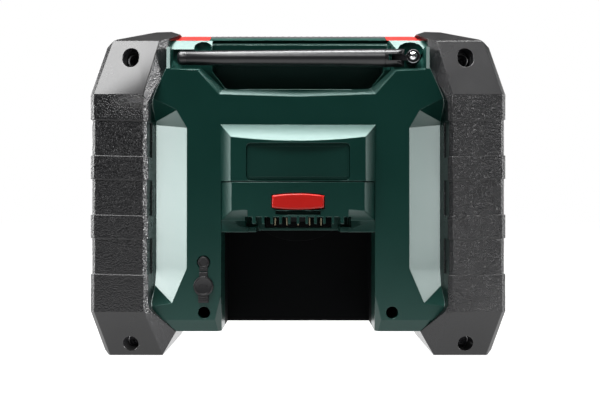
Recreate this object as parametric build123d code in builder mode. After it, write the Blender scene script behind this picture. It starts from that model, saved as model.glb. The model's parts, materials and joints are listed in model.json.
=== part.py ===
"""Jobsite radio: a green two-part case held between two black rubber bumpers.

The front faces -Y, the rear faces +Y, +Z is up and the floor is z = 0.  Left and right are those of
a person who faces the front, so the right bumper is at +X.  All sizes are in millimetres.
"""
import os

from build123d import *

os.makedirs("parts", exist_ok=True)

# ---------------------------------------------------------------- driving dimensions
WIDTH = 256.0
DEPTH = 150.0
HEIGHT = 207.8
HALF_W = WIDTH / 2
HALF_D = DEPTH / 2

WALL = 3.0  # case wall
GAP = 0.3  # clearance round what moves

PANEL_Y = 62.0  # rear panel; the front panel is at -PANEL_Y
SEAM_Y = -10.0  # joint between the two shells
SEAL = 1.0
CASE_SIDE = 92.5
CASE_BOTTOM = 15.0
CASE_TOP = 200.4

BUMPER_BEND_LOW, BUMPER_BEND_HIGH = 29.0, 163.0
BUMPER_SLOPE_DEPTH = 18.0
BUMPER_BEVEL = 2.6
BAND_DEPTH = 0.8
BANDS = [(125.4, 147.4), (88.9, 110.9), (52.4, 74.4)]
BAND_SLANT = 1.1
BUMPER_SLOPE_TOP = (55.4, 198.4)  # Y and Z of the slope's upper edge
POST_BACK, POST_FACE = 14.0, 22.0  # posts of the case that the bumpers are screwed to
BUMPER_SCREW_X, BUMPER_SCREW_TOP, BUMPER_SCREW_LOW = 104.8, 187.0, 8.0

SCOOP_X, SCOOP_TOP, SCOOP_LOW = 69.6, 143.0, 55.0
SCOOP_DEPTH = 29.0

LIP_Y = 49.0  # foot of the sloping flanges above the antenna's two ends
LIP_LOW = 193.9
GRIP_LIP_Y = 41.0  # rear edge of the thinner lip between the ends
GRIP_LIP_ENDS = (-57.6, 55.0)
LIP_SLOT = (199.9, 200.4)  # shadow gap between that lip and the ridge above it
FLANGE_TURN = 45.8  # degrees that the flanges lean from the vertical
GROOVE_Y = 47.0
GROOVE_BEVEL = 3.4
RECESS_Y = 14.0
RECESS_HALF = 55.0
RECESS_TOP = 194.2

STRIP_TOP = 205.5
HOOK_TIP = (76.0, 204.8)  # X and Z where the bumpers reach over the grip's ends
HOOK_GAP = 0.3
STRIP_CREST_Y = 25.0
RIDGE_TOP, RIDGE_Y = 203.3, 32.0  # green ridge that the middle of the grip lies on
END_FOOT_Y, FRONT_FOOT_Y = 42.3, 40.0
GRIP_HALF = 57.0

BAY_HALF = 48.3
BAY_CORNER = (53.9, 36.4)  # X and Z where the bevels of the bay's lower corners leave the panel
LINER = 2.5
LINER_Y = 24.0  # the bay's side walls belong to the housing behind this depth
SHOE_TOP, SHOE_LOW = 109.0, 77.6
SHOE_BACK = 8.0
HOOD_HALF_BASE, HOOD_HALF_FACE = 48.6, 41.8
HOOD_SIDE_Y, HOOD_MID_Y = 71.0, 74.0
HOOD_TOP_BASE, HOOD_TOP_FACE = 145.0, 137.0
RAIL_HALF, RAIL_LIP = 33.2, 26.3
CHANNEL_LOW, CHANNEL_TOP = 81.0, 87.3
FLAP_X = 31.2
COMB_LOW, COMB_PITCH, COMB_GAPS = 83.0, 5.4, 10
BUTTON_TRAVEL = 3.0

SPEAKER_Z = 113.0
DOME_R = 43.0
GRILLE_R = 54.0

PIVOT_X, PIVOT_Z = -72.3, 188.2
WHIP_Y, WHIP_Z = 55.8, 187.4
WHIP_PIN_X = -62.5
KNUCKLE_R, FORK_R = 4.4, 4.6
WHIP_TIP_X = 76.3
WHIP_R_BASE, WHIP_R_TIP = 5.8, 4.4

SOCKET_X, SOCKET_Z = 59.2, 43.9
SOCKET_HINGE_Y, SOCKET_HINGE_Z = 62.9, 52.2
STRAP_HALF, STRAP_R = 2.6, 0.6
ANCHOR_Z = 58.8
CASE_SCREW_X, CASE_SCREW_Z = 58.9, 27.3

KEY_Z, KEY_TRAVEL = 179.0, 1.0
KEY_NAMES = ["power_key", "mode_key", "preset_key_1", "preset_key_2", "preset_key_3", "preset_key_4"]
KEY_PLACES = [66.0, 53.0, 40.0, -40.0, -53.0, -66.0]
DIAL_Z, DIAL_R = 36.0, 14.0

# Finger scoops in the flanges: X, radius, Y and Z of the lower end, and length along the flange.
SCOOPS = [(PIVOT_X + 0.6, 8.0, 49.5, 193.4, 0.1), (60.8, 5.5, 50.0, 192.9, 3.75)]

AXES = {"X": (0, 90, 0), "Y": (90, 0, 0), "Z": (0, 0, 0)}


# ---------------------------------------------------------------- shared shapes
def block(low, high, mode=Mode.ADD):
    """A box between two opposite corners, in the part being built."""
    size = [abs(b - a) for a, b in zip(low, high)]
    middle = tuple((a + b) / 2 for a, b in zip(low, high))
    with Locations(middle):
        Box(*size, mode=mode)


def rod(axis, start, end, radius, mode=Mode.ADD):
    """A cylinder along one axis: start is its first end point, end is its far coordinate."""
    index = "XYZ".index(axis)
    centre = list(start)
    centre[index] = (start[index] + end) / 2
    with Locations(Location(tuple(centre), AXES[axis])):
        Cylinder(radius, abs(end - start[index]), mode=mode)


def prism(points, plane, amount, grow=0.0):
    """A closed outline on a plane, made larger by grow and extruded."""
    with BuildPart() as solid:
        with BuildSketch(plane):
            with BuildLine():
                Polyline(*points, close=True)
            make_face()
            if grow:
                offset(amount=grow, kind=Kind.INTERSECTION)
        extrude(amount=amount)
    return solid.part


def facing(y):
    """An X-Z plane at depth y, whose extrusions run towards the front."""
    return Plane.XZ.offset(-y)


def both_sides(points):
    """A right-hand outline from bottom to top, closed by its mirror image."""
    return points + [(-x, z) for x, z in reversed(points)]


def save(part, name):
    part.label = name
    export_step(part, f"parts/{name}.step")


# ---------------------------------------------------------------- outlines
INNER_EDGE = [(77.0, CASE_BOTTOM), (80.5, 18.5), (90.5, 28.5), (CASE_SIDE, 33.0), (CASE_SIDE, 158.0),
              (88.9, 167.0), (82.7, 180.5), (82.6, CASE_TOP)]
CASE_OUTLINE = both_sides(INNER_EDGE)
BUMPER_FRONT_VIEW = [(85.5, 0.0), (119.5, 0.0), (122.0, 3.5), (HALF_W, BUMPER_BEND_LOW),
                     (HALF_W, BUMPER_BEND_HIGH), (120.8, 194.0), (115.0, 199.8), (93.0, 207.3),
                     (82.5, HEIGHT), HOOK_TIP] + INNER_EDGE[::-1]
BUMPER_SIDE_VIEW = [(HALF_D - BUMPER_SLOPE_DEPTH, 0.0), (HALF_D, BUMPER_BEND_LOW), (HALF_D, BUMPER_BEND_HIGH),
                    BUMPER_SLOPE_TOP, (30.0, HEIGHT), (-30.0, HEIGHT),
                    (-BUMPER_SLOPE_TOP[0], BUMPER_SLOPE_TOP[1]), (-HALF_D, BUMPER_BEND_HIGH),
                    (-HALF_D, BUMPER_BEND_LOW), (-HALF_D + BUMPER_SLOPE_DEPTH, 0.0)]
CAVITY_FRONT_VIEW = [(91.0, 3.2), (116.5, 3.2), (123.0, 30.0), (123.0, 162.0), (116.0, 191.0),
                     (112.0, 195.0), (93.0, 201.5), (90.5, 199.0), (91.0, 184.0), (97.5, 165.0),
                     (97.5, 31.0), (93.0, 18.0)]
# Where the inner corner of a bumper is cut back above its upper bend and below its lower one.
BUMPER_FACETS = [((95.1, HALF_D, BUMPER_BEND_HIGH), (-0.686, 0.686, 0.235)),
                 ((94.5, HALF_D, 30.0), (-0.590, 0.760, -0.273))]

# ---------------------------------------------------------------- bumpers
bumper_side = prism(BUMPER_SIDE_VIEW, Plane.YZ.offset(70), 60)
cavity_side = prism(BUMPER_SIDE_VIEW, Plane.YZ.offset(80), 50, grow=-5.0)
BUMPER_SCREWS = [(BUMPER_SCREW_X, BUMPER_SCREW_TOP), (BUMPER_SCREW_X, BUMPER_SCREW_LOW)]

with BuildPart() as band_cutter:
    with BuildSketch(Plane.XY.offset(40)):
        with Locations(((CASE_SIDE + HALF_W) / 2, 0)):
            Rectangle(HALF_W - CASE_SIDE + 4, DEPTH + 4)
            chamfer(vertices(), BUMPER_BEVEL + 2)
            with BuildSketch(mode=Mode.PRIVATE) as core:
                Rectangle(HALF_W - CASE_SIDE - 2 * BAND_DEPTH, DEPTH - 2 * BAND_DEPTH)
                chamfer(core.vertices(), BUMPER_BEVEL - 0.3)
            add(core.sketch, mode=Mode.SUBTRACT)
    extrude(amount=120)
    block((CASE_SIDE - 5, -53, 0), (CASE_SIDE + 8, 53, 200), Mode.SUBTRACT)

band_prisms = [
    prism([(CASE_SIDE - 4, low - BAND_SLANT), (HALF_W + 4, low), (HALF_W + 4, high),
           (CASE_SIDE - 4, high - BAND_SLANT)], facing(HALF_D + 5), DEPTH + 10)
    for low, high in BANDS
]

with BuildPart() as bumper_cavity:
    add(prism(CAVITY_FRONT_VIEW, facing(HALF_D), DEPTH))
    add(cavity_side, mode=Mode.INTERSECT)
    for x, z in BUMPER_SCREWS:
        rod("Y", (x, POST_FACE + 0.2, z), 80, 8.5, Mode.SUBTRACT)

with BuildPart() as bumper_right:
    add(prism(BUMPER_FRONT_VIEW, facing(HALF_D), DEPTH))
    add(bumper_side, mode=Mode.INTERSECT)
    outer_edges = [e for e in edges() if e.center().X > 110 and abs(e.center().Y) > 45 and e.length > 12]
    chamfer(outer_edges, BUMPER_BEVEL)
    for side in (1, -1):
        add(prism([(CASE_SIDE - 1, side * (HALF_D - BUMPER_BEVEL - 1)), (CASE_SIDE - 1, side * (HALF_D + 1)),
                   (CASE_SIDE + BUMPER_BEVEL + 1, side * (HALF_D + 1))], Plane.XY.offset(10), 170),
            mode=Mode.SUBTRACT)
    for side in (1, -1):
        for (x, y, z), (across, back, up) in BUMPER_FACETS:
            split(bisect_by=Plane(origin=(x, side * y, z), z_dir=(across, side * back, up)), keep=Keep.BOTTOM)
    for band in band_prisms:
        with BuildPart(mode=Mode.PRIVATE) as groove:
            add(band_cutter.part)
            add(band, mode=Mode.INTERSECT)
        add(groove.part, mode=Mode.SUBTRACT)
    add(bumper_cavity.part, mode=Mode.SUBTRACT)
    block((CASE_SIDE - 2, -30, 40), (CASE_SIDE + 8, 30, 158), Mode.SUBTRACT)
    for side in (1, -1):
        with BuildSketch(facing(HALF_D * side)):
            with Locations((BUMPER_SCREW_X, BUMPER_SCREW_TOP)):
                SlotOverall(12.4, 10.0, rotation=90)
            with Locations((BUMPER_SCREW_X, BUMPER_SCREW_LOW)):
                Circle(4.8)
        extrude(amount=(HALF_D - 41.0 if side > 0 else 12.0) * side, mode=Mode.SUBTRACT)
    for x, z in BUMPER_SCREWS:
        rod("Y", (x, POST_FACE - 2, z), 42, 2.3, Mode.SUBTRACT)
save(bumper_right.part, "bumper_right")

with BuildPart() as bumper_left:
    mirror(bumper_right.part, about=Plane.YZ)
save(bumper_left.part, "bumper_left")

with BuildPart() as bumper_screws:
    for x, z in BUMPER_SCREWS + [(-x, z) for x, z in BUMPER_SCREWS]:
        rod("Y", (x, 41, z), 44, 4.2)
        rod("Y", (x, POST_BACK - 3, z), 41, 1.9)
save(bumper_screws.part, "bumper_screws")


# ---------------------------------------------------------------- case tools
SCOOP_ENDS = [((SCOOP_X, PANEL_Y, SCOOP_TOP), (-1.7, -1.22, 1)),
              ((79.0, PANEL_Y, 155.6), (-0.5, -0.5, 1)),
              ((SCOOP_X, PANEL_Y, SCOOP_LOW), (-2.33, -1.78, -1)),
              ((80.5, PANEL_Y, 32.9), (-0.15, -0.5, -1))]


def scoop(grow=0.0):
    """The tapering trough between the rear panel and the right bumper, with ends that curve over."""
    deep = PANEL_Y - SCOOP_DEPTH
    plan = [(SCOOP_X, PANEL_Y), (CASE_SIDE, deep), (CASE_SIDE + 12, deep), (CASE_SIDE + 12, PANEL_Y + 8),
            (SCOOP_X, PANEL_Y + 8)]
    body = prism(plan, Plane.XY.offset(10), 170, grow=grow)
    with BuildPart() as trough:
        add(body)
        for origin, z_dir in SCOOP_ENDS:
            split(bisect_by=Plane(origin=origin, z_dir=z_dir).offset(grow), keep=Keep.BOTTOM)
    return trough.part


def all_scoops(grow, front):
    """The two troughs of one shell."""
    trough = scoop(grow)
    if front:
        trough = mirror(trough, about=Plane.XZ)
    return [trough, mirror(trough, about=Plane.YZ)]


GROOVE_MOUTH = [(80.0, LIP_LOW), (80.0, 179.5), (63.3, 179.5), (49.6, 164.1), (0.0, 162.6),
                (-48.5, 164.2), (-61.5, 178.8), (-80.0, 179.5), (-80.0, LIP_LOW)]
GROOVE_DEEP = [(79.6, LIP_LOW), (79.6, 181.0), (61.2, 181.0), (47.0, 167.6), (0.0, 166.2),
               (-46.0, 167.7), (-59.5, 180.4), (-79.6, 181.0), (-79.6, LIP_LOW)]
HOOD_PLAN_SIDE = [(HOOD_HALF_BASE, PANEL_Y), (HOOD_HALF_FACE, HOOD_SIDE_Y)]


def hood_block(low, high, narrow=0.0):
    """The hood's body between two heights: bevelled sides and a slightly bowed rear face."""
    with BuildPart() as body:
        with BuildSketch(Plane.XY.offset(low)):
            with BuildLine():
                base, face = HOOD_HALF_BASE - narrow, HOOD_HALF_FACE - narrow
                Polyline((-face, HOOD_SIDE_Y), (-base, PANEL_Y), (-base, PANEL_Y - WALL),
                         (base, PANEL_Y - WALL), (base, PANEL_Y), (face, HOOD_SIDE_Y))
                ThreePointArc((face, HOOD_SIDE_Y), (0, HOOD_MID_Y), (-face, HOOD_SIDE_Y))
            make_face()
        extrude(amount=high - low)
    return body.part


def hood_slope(top, start=-60.0, end=60.0):
    """The wedge that bevels the hood's top edge, or its bottom edge when top is False."""
    if top:
        run = [(PANEL_Y, HOOD_TOP_BASE), (HOOD_SIDE_Y, HOOD_TOP_FACE), (HOOD_SIDE_Y + 9, HOOD_TOP_FACE - 8),
               (HOOD_SIDE_Y + 9, HOOD_TOP_BASE + 5), (PANEL_Y, HOOD_TOP_BASE + 5)]
    else:
        run = [(PANEL_Y, 85.3), (HOOD_SIDE_Y, 91.0), (HOOD_SIDE_Y + 9, 96.7), (HOOD_SIDE_Y + 9, 70.0),
               (PANEL_Y, 70.0)]
    return prism(run, Plane.YZ.offset(min(start, end)), abs(end - start))


upper_hood = hood_block(SHOE_TOP + 0.5, HOOD_TOP_BASE)
lower_hood = hood_block(SHOE_LOW, SHOE_TOP, narrow=0.6)

with BuildPart() as groove_bevel:
    for y, outline in ((PANEL_Y, GROOVE_MOUTH), (PANEL_Y - GROOVE_BEVEL, GROOVE_DEEP)):
        with BuildSketch(facing(y)):
            with BuildLine():
                Polyline(*outline, close=True)
            make_face()
    loft(ruled=True)

# ---------------------------------------------------------------- rear housing
with BuildPart() as rear_void:
    add(prism(CASE_OUTLINE, facing(PANEL_Y - WALL), PANEL_Y - WALL - SEAM_Y + SEAL, grow=-WALL))
    add(prism(GROOVE_MOUTH, facing(70), 70 - GROOVE_Y + WALL, grow=WALL), mode=Mode.SUBTRACT)
    block((-100, GROOVE_Y - WALL, LIP_LOW - 2), (100, 70, 210), Mode.SUBTRACT)
    block((-RECESS_HALF - 4, RECESS_Y - WALL, 164), (RECESS_HALF + 4, 70, 210), Mode.SUBTRACT)
    block((-BAY_HALF - 2 * WALL, -20, 0), (BAY_HALF + 2 * WALL, 70, SHOE_TOP + 0.5 + WALL), Mode.SUBTRACT)
    for trough in all_scoops(WALL, False):
        add(trough, mode=Mode.SUBTRACT)
    for side in (1, -1):
        rod("Y", (side * CASE_SCREW_X, -20, CASE_SCREW_Z), 70, 6.4, Mode.SUBTRACT)
    rod("Y", (PIVOT_X, 30, PIVOT_Z), 50, 5.5, Mode.SUBTRACT)
    for x, radius, y, z, run in SCOOPS:
        block((x - radius - 2, y - radius - 5, LIP_LOW - 8), (x + radius + 2, 70, 210), Mode.SUBTRACT)
    rod("Y", (SOCKET_X, 44, SOCKET_Z), 70, 6.5, Mode.SUBTRACT)
    block((-100, PANEL_Y - 8, 0), (100, 80, 25), Mode.SUBTRACT)

with BuildPart() as rear_housing:
    add(prism(CASE_OUTLINE, facing(PANEL_Y), PANEL_Y - SEAM_Y - SEAL / 2))
    for trough in all_scoops(0.0, False):
        add(trough, mode=Mode.SUBTRACT)
    block((-100, LIP_Y, LIP_LOW), (100, 70, 210), Mode.SUBTRACT)
    add(prism([(LIP_Y, LIP_LOW), (END_FOOT_Y, CASE_TOP), (END_FOOT_Y, CASE_TOP + 3), (LIP_Y + 1, CASE_TOP + 3),
               (LIP_Y + 1, LIP_LOW)], Plane.YZ.offset(-90), 180), mode=Mode.SUBTRACT)
    for side in (1, -1):
        add(prism([(side * 80.3, PANEL_Y), (side * 83.5, PANEL_Y - 3.2), (side * 83.5, PANEL_Y + 1),
                   (side * 80.3, PANEL_Y + 1)], Plane.XY.offset(180.3), 20), mode=Mode.SUBTRACT)
    add(prism([(PANEL_Y + 1, 22.6 + 1.5), (PANEL_Y + 1, 10), (PANEL_Y - 6.5, 10), (PANEL_Y - 5, CASE_BOTTOM)],
              Plane.YZ.offset(-95), 190), mode=Mode.SUBTRACT)
    add(groove_bevel.part, mode=Mode.SUBTRACT)
    add(prism(GROOVE_DEEP, facing(PANEL_Y), PANEL_Y - GROOVE_Y), mode=Mode.SUBTRACT)
    with BuildSketch(facing(GROOVE_Y + 1)):
        with BuildLine():
            Polyline((RECESS_HALF, RECESS_TOP), (RECESS_HALF, 180), (46, 168.5), (-46, 168.5),
                     (-RECESS_HALF, 180), (-RECESS_HALF, RECESS_TOP), close=True)
        make_face()
        fillet(vertices(), 4)
    extrude(amount=GROOVE_Y + 1 - RECESS_Y, mode=Mode.SUBTRACT)
    add(prism([(GRIP_LIP_ENDS[0], GRIP_LIP_Y), (GRIP_LIP_ENDS[0] - 5.1, LIP_Y), (GRIP_LIP_ENDS[0] - 5.1, 70),
               (GRIP_LIP_ENDS[1], 70), (GRIP_LIP_ENDS[1], GRIP_LIP_Y)], Plane.XY.offset(181), 30),
        mode=Mode.SUBTRACT)
    add(prism([(SEAM_Y + SEAL / 2, CASE_TOP - 0.1), (GRIP_LIP_Y - 0.1, CASE_TOP - 0.1),
               (GRIP_LIP_Y - 0.1, CASE_TOP + 0.3), (RIDGE_Y, RIDGE_TOP), (SEAM_Y + SEAL / 2, RIDGE_TOP)],
              Plane.YZ.offset(-GRIP_HALF), 2 * GRIP_HALF))
    block((GRIP_LIP_ENDS[0] - 6, GRIP_LIP_Y - 4, LIP_SLOT[0]), (GRIP_LIP_ENDS[1], GRIP_LIP_Y + 1, LIP_SLOT[1]),
          Mode.SUBTRACT)
    add(prism([(GRIP_LIP_Y + 1, LIP_SLOT[0] - 2.2), (GRIP_LIP_Y, LIP_SLOT[0] - 2.2), (GRIP_LIP_Y - 1.8, LIP_SLOT[0]),
               (GRIP_LIP_Y - 1.8, LIP_SLOT[1]), (GRIP_LIP_Y + 1, LIP_SLOT[1])],
              Plane.YZ.offset(GRIP_LIP_ENDS[0]), GRIP_LIP_ENDS[1] - GRIP_LIP_ENDS[0]), mode=Mode.SUBTRACT)
    for x, radius, y, z, run in SCOOPS:
        rod("Z", (x, y, LIP_LOW - 5), z, radius, Mode.SUBTRACT)
        with Locations((x, y, z)):
            Sphere(radius, mode=Mode.SUBTRACT)
        with Locations(Location((x, y, z), (FLANGE_TURN, 0, 0))):
            Cylinder(radius, run, align=(Align.CENTER, Align.CENTER, Align.MIN), mode=Mode.SUBTRACT)
            with Locations((0, 0, run)):
                Sphere(radius, mode=Mode.SUBTRACT)
    for side in (1, -1):
        with BuildPart(mode=Mode.PRIVATE) as groove_corner:
            block((side * 79.7, GROOVE_Y - 0.1, 180.9), (side * 72, GROOVE_Y + 10, 190))
            split(bisect_by=Plane(origin=(side * 79.6, GROOVE_Y + 10, 181), z_dir=(-side / 6.6, 0.1, 0.125)),
                  keep=Keep.BOTTOM)
        add(groove_corner.part)
    add(upper_hood)
    add(hood_slope(True), mode=Mode.SUBTRACT)
    add(rear_void.part, mode=Mode.SUBTRACT)
    block((-38, PANEL_Y - 10, SHOE_TOP + 0.5 + WALL), (38, HOOD_SIDE_Y - 3, 136), Mode.SUBTRACT)
    with BuildSketch(facing(HOOD_MID_Y + 1)):
        with Locations((0, 121.5)):
            RectangleRounded(64.0, 22.8, 2.5)
    extrude(amount=HOOD_MID_Y + 1 - 70.4, mode=Mode.SUBTRACT)
    block((-BAY_HALF - LINER, -20, 0), (BAY_HALF + LINER, LINER_Y, SHOE_TOP + 0.5), Mode.SUBTRACT)
    block((-BAY_HALF - LINER, LINER_Y - 1, SHOE_LOW), (BAY_HALF + LINER, PANEL_Y - 2, SHOE_TOP + 0.5), Mode.SUBTRACT)
    block((-BAY_HALF, LINER_Y - 1, 0), (BAY_HALF, 90, SHOE_TOP + 0.5), Mode.SUBTRACT)
    for side in (1, -1):
        with BuildPart(mode=Mode.PRIVATE) as bay_corner:
            block((side * (BAY_HALF - 1), 20, 10), (side * 60, PANEL_Y + 1, BAY_CORNER[1] + 8))
            split(bisect_by=Plane(origin=(side * BAY_CORNER[0], PANEL_Y, CASE_BOTTOM), z_dir=(side * 0.80, -0.55, 0.19)),
                  keep=Keep.BOTTOM)
        add(bay_corner.part, mode=Mode.SUBTRACT)
        rod("Y", (side * CASE_SCREW_X, 10, CASE_SCREW_Z), 70, 3.75, Mode.SUBTRACT)
        rod("Y", (side * CASE_SCREW_X, -20, CASE_SCREW_Z), 11, 2.1, Mode.SUBTRACT)
        block((side * 98.5, POST_BACK, 5.3), (side * 113, POST_FACE, 192))
        block((side * CASE_SIDE, POST_BACK, 43), (side * 98.5, POST_FACE, 155))
        for z in (BUMPER_SCREW_TOP, BUMPER_SCREW_LOW):
            rod("Y", (side * BUMPER_SCREW_X, POST_BACK - 1, z), POST_FACE + 1, 1.95, Mode.SUBTRACT)
    rod("Y", (PIVOT_X, 33, PIVOT_Z), 50, 2.0, Mode.SUBTRACT)
    rod("Y", (SOCKET_X, 43, SOCKET_Z), 70, 4.7, Mode.SUBTRACT)
    rod("Y", (SOCKET_X, PANEL_Y - 1.6, ANCHOR_Z), 70, 4.1, Mode.SUBTRACT)
save(rear_housing.part, "rear_housing")

# ---------------------------------------------------------------- front housing
with BuildPart() as front_void:
    add(prism(CASE_OUTLINE, facing(SEAM_Y + SEAL), PANEL_Y - WALL + SEAM_Y + SEAL, grow=-WALL))
    for trough in all_scoops(WALL, True):
        add(trough, mode=Mode.SUBTRACT)
    for side in (1, -1):
        rod("Y", (side * CASE_SCREW_X, -70, CASE_SCREW_Z), 0, 5.4, Mode.SUBTRACT)
    add(prism([(-PANEL_Y - 2, 186.0), (-FRONT_FOOT_Y, 196.5), (-FRONT_FOOT_Y, 210), (-PANEL_Y - 2, 210)],
              Plane.YZ.offset(-95), 190), mode=Mode.SUBTRACT)

with BuildPart() as front_housing:
    add(prism(CASE_OUTLINE, facing(SEAM_Y - SEAL / 2), PANEL_Y + SEAM_Y - SEAL / 2))
    for trough in all_scoops(0.0, True):
        add(trough, mode=Mode.SUBTRACT)
    add(prism([(-PANEL_Y - 1, 190.5), (-FRONT_FOOT_Y, CASE_TOP), (-FRONT_FOOT_Y, 210), (-PANEL_Y - 1, 210)],
              Plane.YZ.offset(-95), 190), mode=Mode.SUBTRACT)
    add(prism([(SEAM_Y - SEAL / 2, CASE_TOP - 0.1), (-FRONT_FOOT_Y, CASE_TOP - 0.1), (-FRONT_FOOT_Y, CASE_TOP),
               (-RIDGE_Y, RIDGE_TOP), (SEAM_Y - SEAL / 2, RIDGE_TOP)], Plane.YZ.offset(-GRIP_HALF), 2 * GRIP_HALF))
    add(prism([(-PANEL_Y - 1, 22.6 + 1.5), (-PANEL_Y - 1, 10), (-PANEL_Y + 6.5, 10), (-PANEL_Y + 5, CASE_BOTTOM)],
              Plane.YZ.offset(-95), 190), mode=Mode.SUBTRACT)
    add(front_void.part, mode=Mode.SUBTRACT)
    rod("Y", (0, -PANEL_Y - 1, SPEAKER_Z), -PANEL_Y + 1.4, GRILLE_R + 0.2, Mode.SUBTRACT)
    rod("Y", (0, -PANEL_Y - 1, SPEAKER_Z), -PANEL_Y + 5, 48.5, Mode.SUBTRACT)
    with BuildSketch(facing(-PANEL_Y - 1)):
        with Locations((0, KEY_Z)):
            RectangleRounded(150.4, 20.4, 4)
    extrude(amount=-2.6, mode=Mode.SUBTRACT)
    block((-29.5, -70, KEY_Z - 8.5), (29.5, -50, KEY_Z + 8.5), Mode.SUBTRACT)
    for x in KEY_PLACES:
        block((x - 5.4, -70, KEY_Z - 4.4), (x + 5.4, -50, KEY_Z + 4.4), Mode.SUBTRACT)
    rod("Y", (0, -70, DIAL_Z), -50, 4.6, Mode.SUBTRACT)
    for side in (1, -1):
        rod("Y", (side * CASE_SCREW_X, -26, CASE_SCREW_Z), 0, 1.95, Mode.SUBTRACT)
save(front_housing.part, "front_housing")

with BuildPart() as shell_seal:
    with BuildSketch(facing(SEAM_Y + SEAL / 2)):
        with BuildLine():
            Polyline(*CASE_OUTLINE, close=True)
        make_face()
        offset(amount=-0.8, kind=Kind.INTERSECTION)
        with BuildSketch(mode=Mode.PRIVATE) as seal_hole:
            with BuildLine():
                Polyline(*CASE_OUTLINE, close=True)
            make_face()
            offset(amount=-WALL, kind=Kind.INTERSECTION)
        add(seal_hole.sketch, mode=Mode.SUBTRACT)
    extrude(amount=SEAL)
save(shell_seal.part, "shell_seal")

# ---------------------------------------------------------------- battery bay
with BuildPart() as bay_liner:
    block((-BAY_HALF - LINER, SEAM_Y + SEAL / 2, CASE_BOTTOM), (BAY_HALF + LINER, SEAM_Y + SEAL / 2 + LINER, SHOE_TOP))
    for side in (1, -1):
        block((side * BAY_HALF, SEAM_Y + 0.5, CASE_BOTTOM), (side * (BAY_HALF + LINER), LINER_Y, SHOE_LOW))
    rod("Y", (0, SEAM_Y + 2, SPEAKER_Z), 4.0, DOME_R)
    block((-60, SEAM_Y, SHOE_TOP), (60, 30, 170), Mode.SUBTRACT)
    rod("Y", (0, SEAM_Y - 5, SPEAKER_Z), 1.5, DOME_R - LINER, Mode.SUBTRACT)
    block((-60, -30, SHOE_TOP - LINER), (60, 1.5, SHOE_TOP))
    block((-60, -30, SHOE_TOP - LINER), (60, SEAM_Y + SEAL / 2, SHOE_TOP + 1), Mode.SUBTRACT)
    block((-60, -30, CASE_BOTTOM), (-BAY_HALF - LINER, 80, 200), Mode.SUBTRACT)
    block((BAY_HALF + LINER, -30, CASE_BOTTOM), (60, 80, 200), Mode.SUBTRACT)
save(bay_liner.part, "bay_liner")

LATCH_HALF, EAR_HALF = 7.0, 12.0
LATCH_BACK, LATCH_FRONT = 44.0, 52.0
with BuildPart() as battery_shoe:
    block((-BAY_HALF - LINER + 0.2, SHOE_BACK, SHOE_LOW), (BAY_HALF + LINER - 0.2, PANEL_Y - 2.2, SHOE_TOP))
    add(lower_hood)
    for side in (1, -1):
        add(hood_slope(False, side * FLAP_X, side * 60), mode=Mode.SUBTRACT)
        block((side * FLAP_X, PANEL_Y - 0.5, 60), (side * 60, 90, 84.8), Mode.SUBTRACT)
        block((side * 28.4, 58, CHANNEL_LOW), (side * RAIL_HALF, 90, CHANNEL_TOP), Mode.SUBTRACT)
    block((-FLAP_X, PANEL_Y - 3, 60), (FLAP_X, 90, COMB_LOW), Mode.SUBTRACT)
    block((-RAIL_LIP, 18, SHOE_LOW - 1), (RAIL_LIP, 90, CHANNEL_LOW + 1), Mode.SUBTRACT)
    block((-RAIL_HALF, 18, CHANNEL_LOW), (RAIL_HALF, 60, CHANNEL_TOP), Mode.SUBTRACT)
    for place in range(COMB_GAPS):
        x = (place - (COMB_GAPS - 1) / 2) * COMB_PITCH
        block((x - 1.85, 58, COMB_LOW - 1), (x + 1.85, 90, CHANNEL_TOP), Mode.SUBTRACT)
    block((-30, 26, 90.3), (30, 68.3, SHOE_TOP + 1), Mode.SUBTRACT)
    block((-14, 68, 88.7), (14, 90, 91.0), Mode.SUBTRACT)
    block((-LATCH_HALF - GAP, LATCH_BACK - GAP, 80), (LATCH_HALF + GAP, LATCH_FRONT + GAP, 95), Mode.SUBTRACT)
    with BuildSketch(facing(90)):
        with BuildLine():
            Polyline((-16.4, 100.9), (-16.4, 92.6))
            ThreePointArc((-16.4, 92.6), (0, 91.4), (16.4, 92.6))
            Polyline((16.4, 92.6), (16.4, 100.9))
            ThreePointArc((16.4, 100.9), (0, 102.3), (-16.4, 100.9))
        make_face()
    extrude(amount=25, mode=Mode.SUBTRACT)
    block((-22, SHOE_BACK - 1, SHOE_LOW + 2), (22, 19, 88), Mode.SUBTRACT)
save(battery_shoe.part, "battery_shoe")

with BuildPart() as terminal_block:
    block((-21.8, SHOE_BACK + 0.2, SHOE_LOW + 2.2), (21.8, 18.6, 87.8))
    for x in (-15, -7.5, 0, 7.5, 15):
        block((x - 0.4, SHOE_BACK, SHOE_LOW + 1), (x + 0.4, 20, 86.2), Mode.SUBTRACT)
save(terminal_block.part, "terminal_block")

with BuildPart() as terminal_blades:
    for x in (-15, -7.5, 0, 7.5, 15):
        block((x - 0.38, SHOE_BACK + 1, 81.2), (x + 0.38, 30, 86.0))
save(terminal_blades.part, "terminal_blades")

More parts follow.
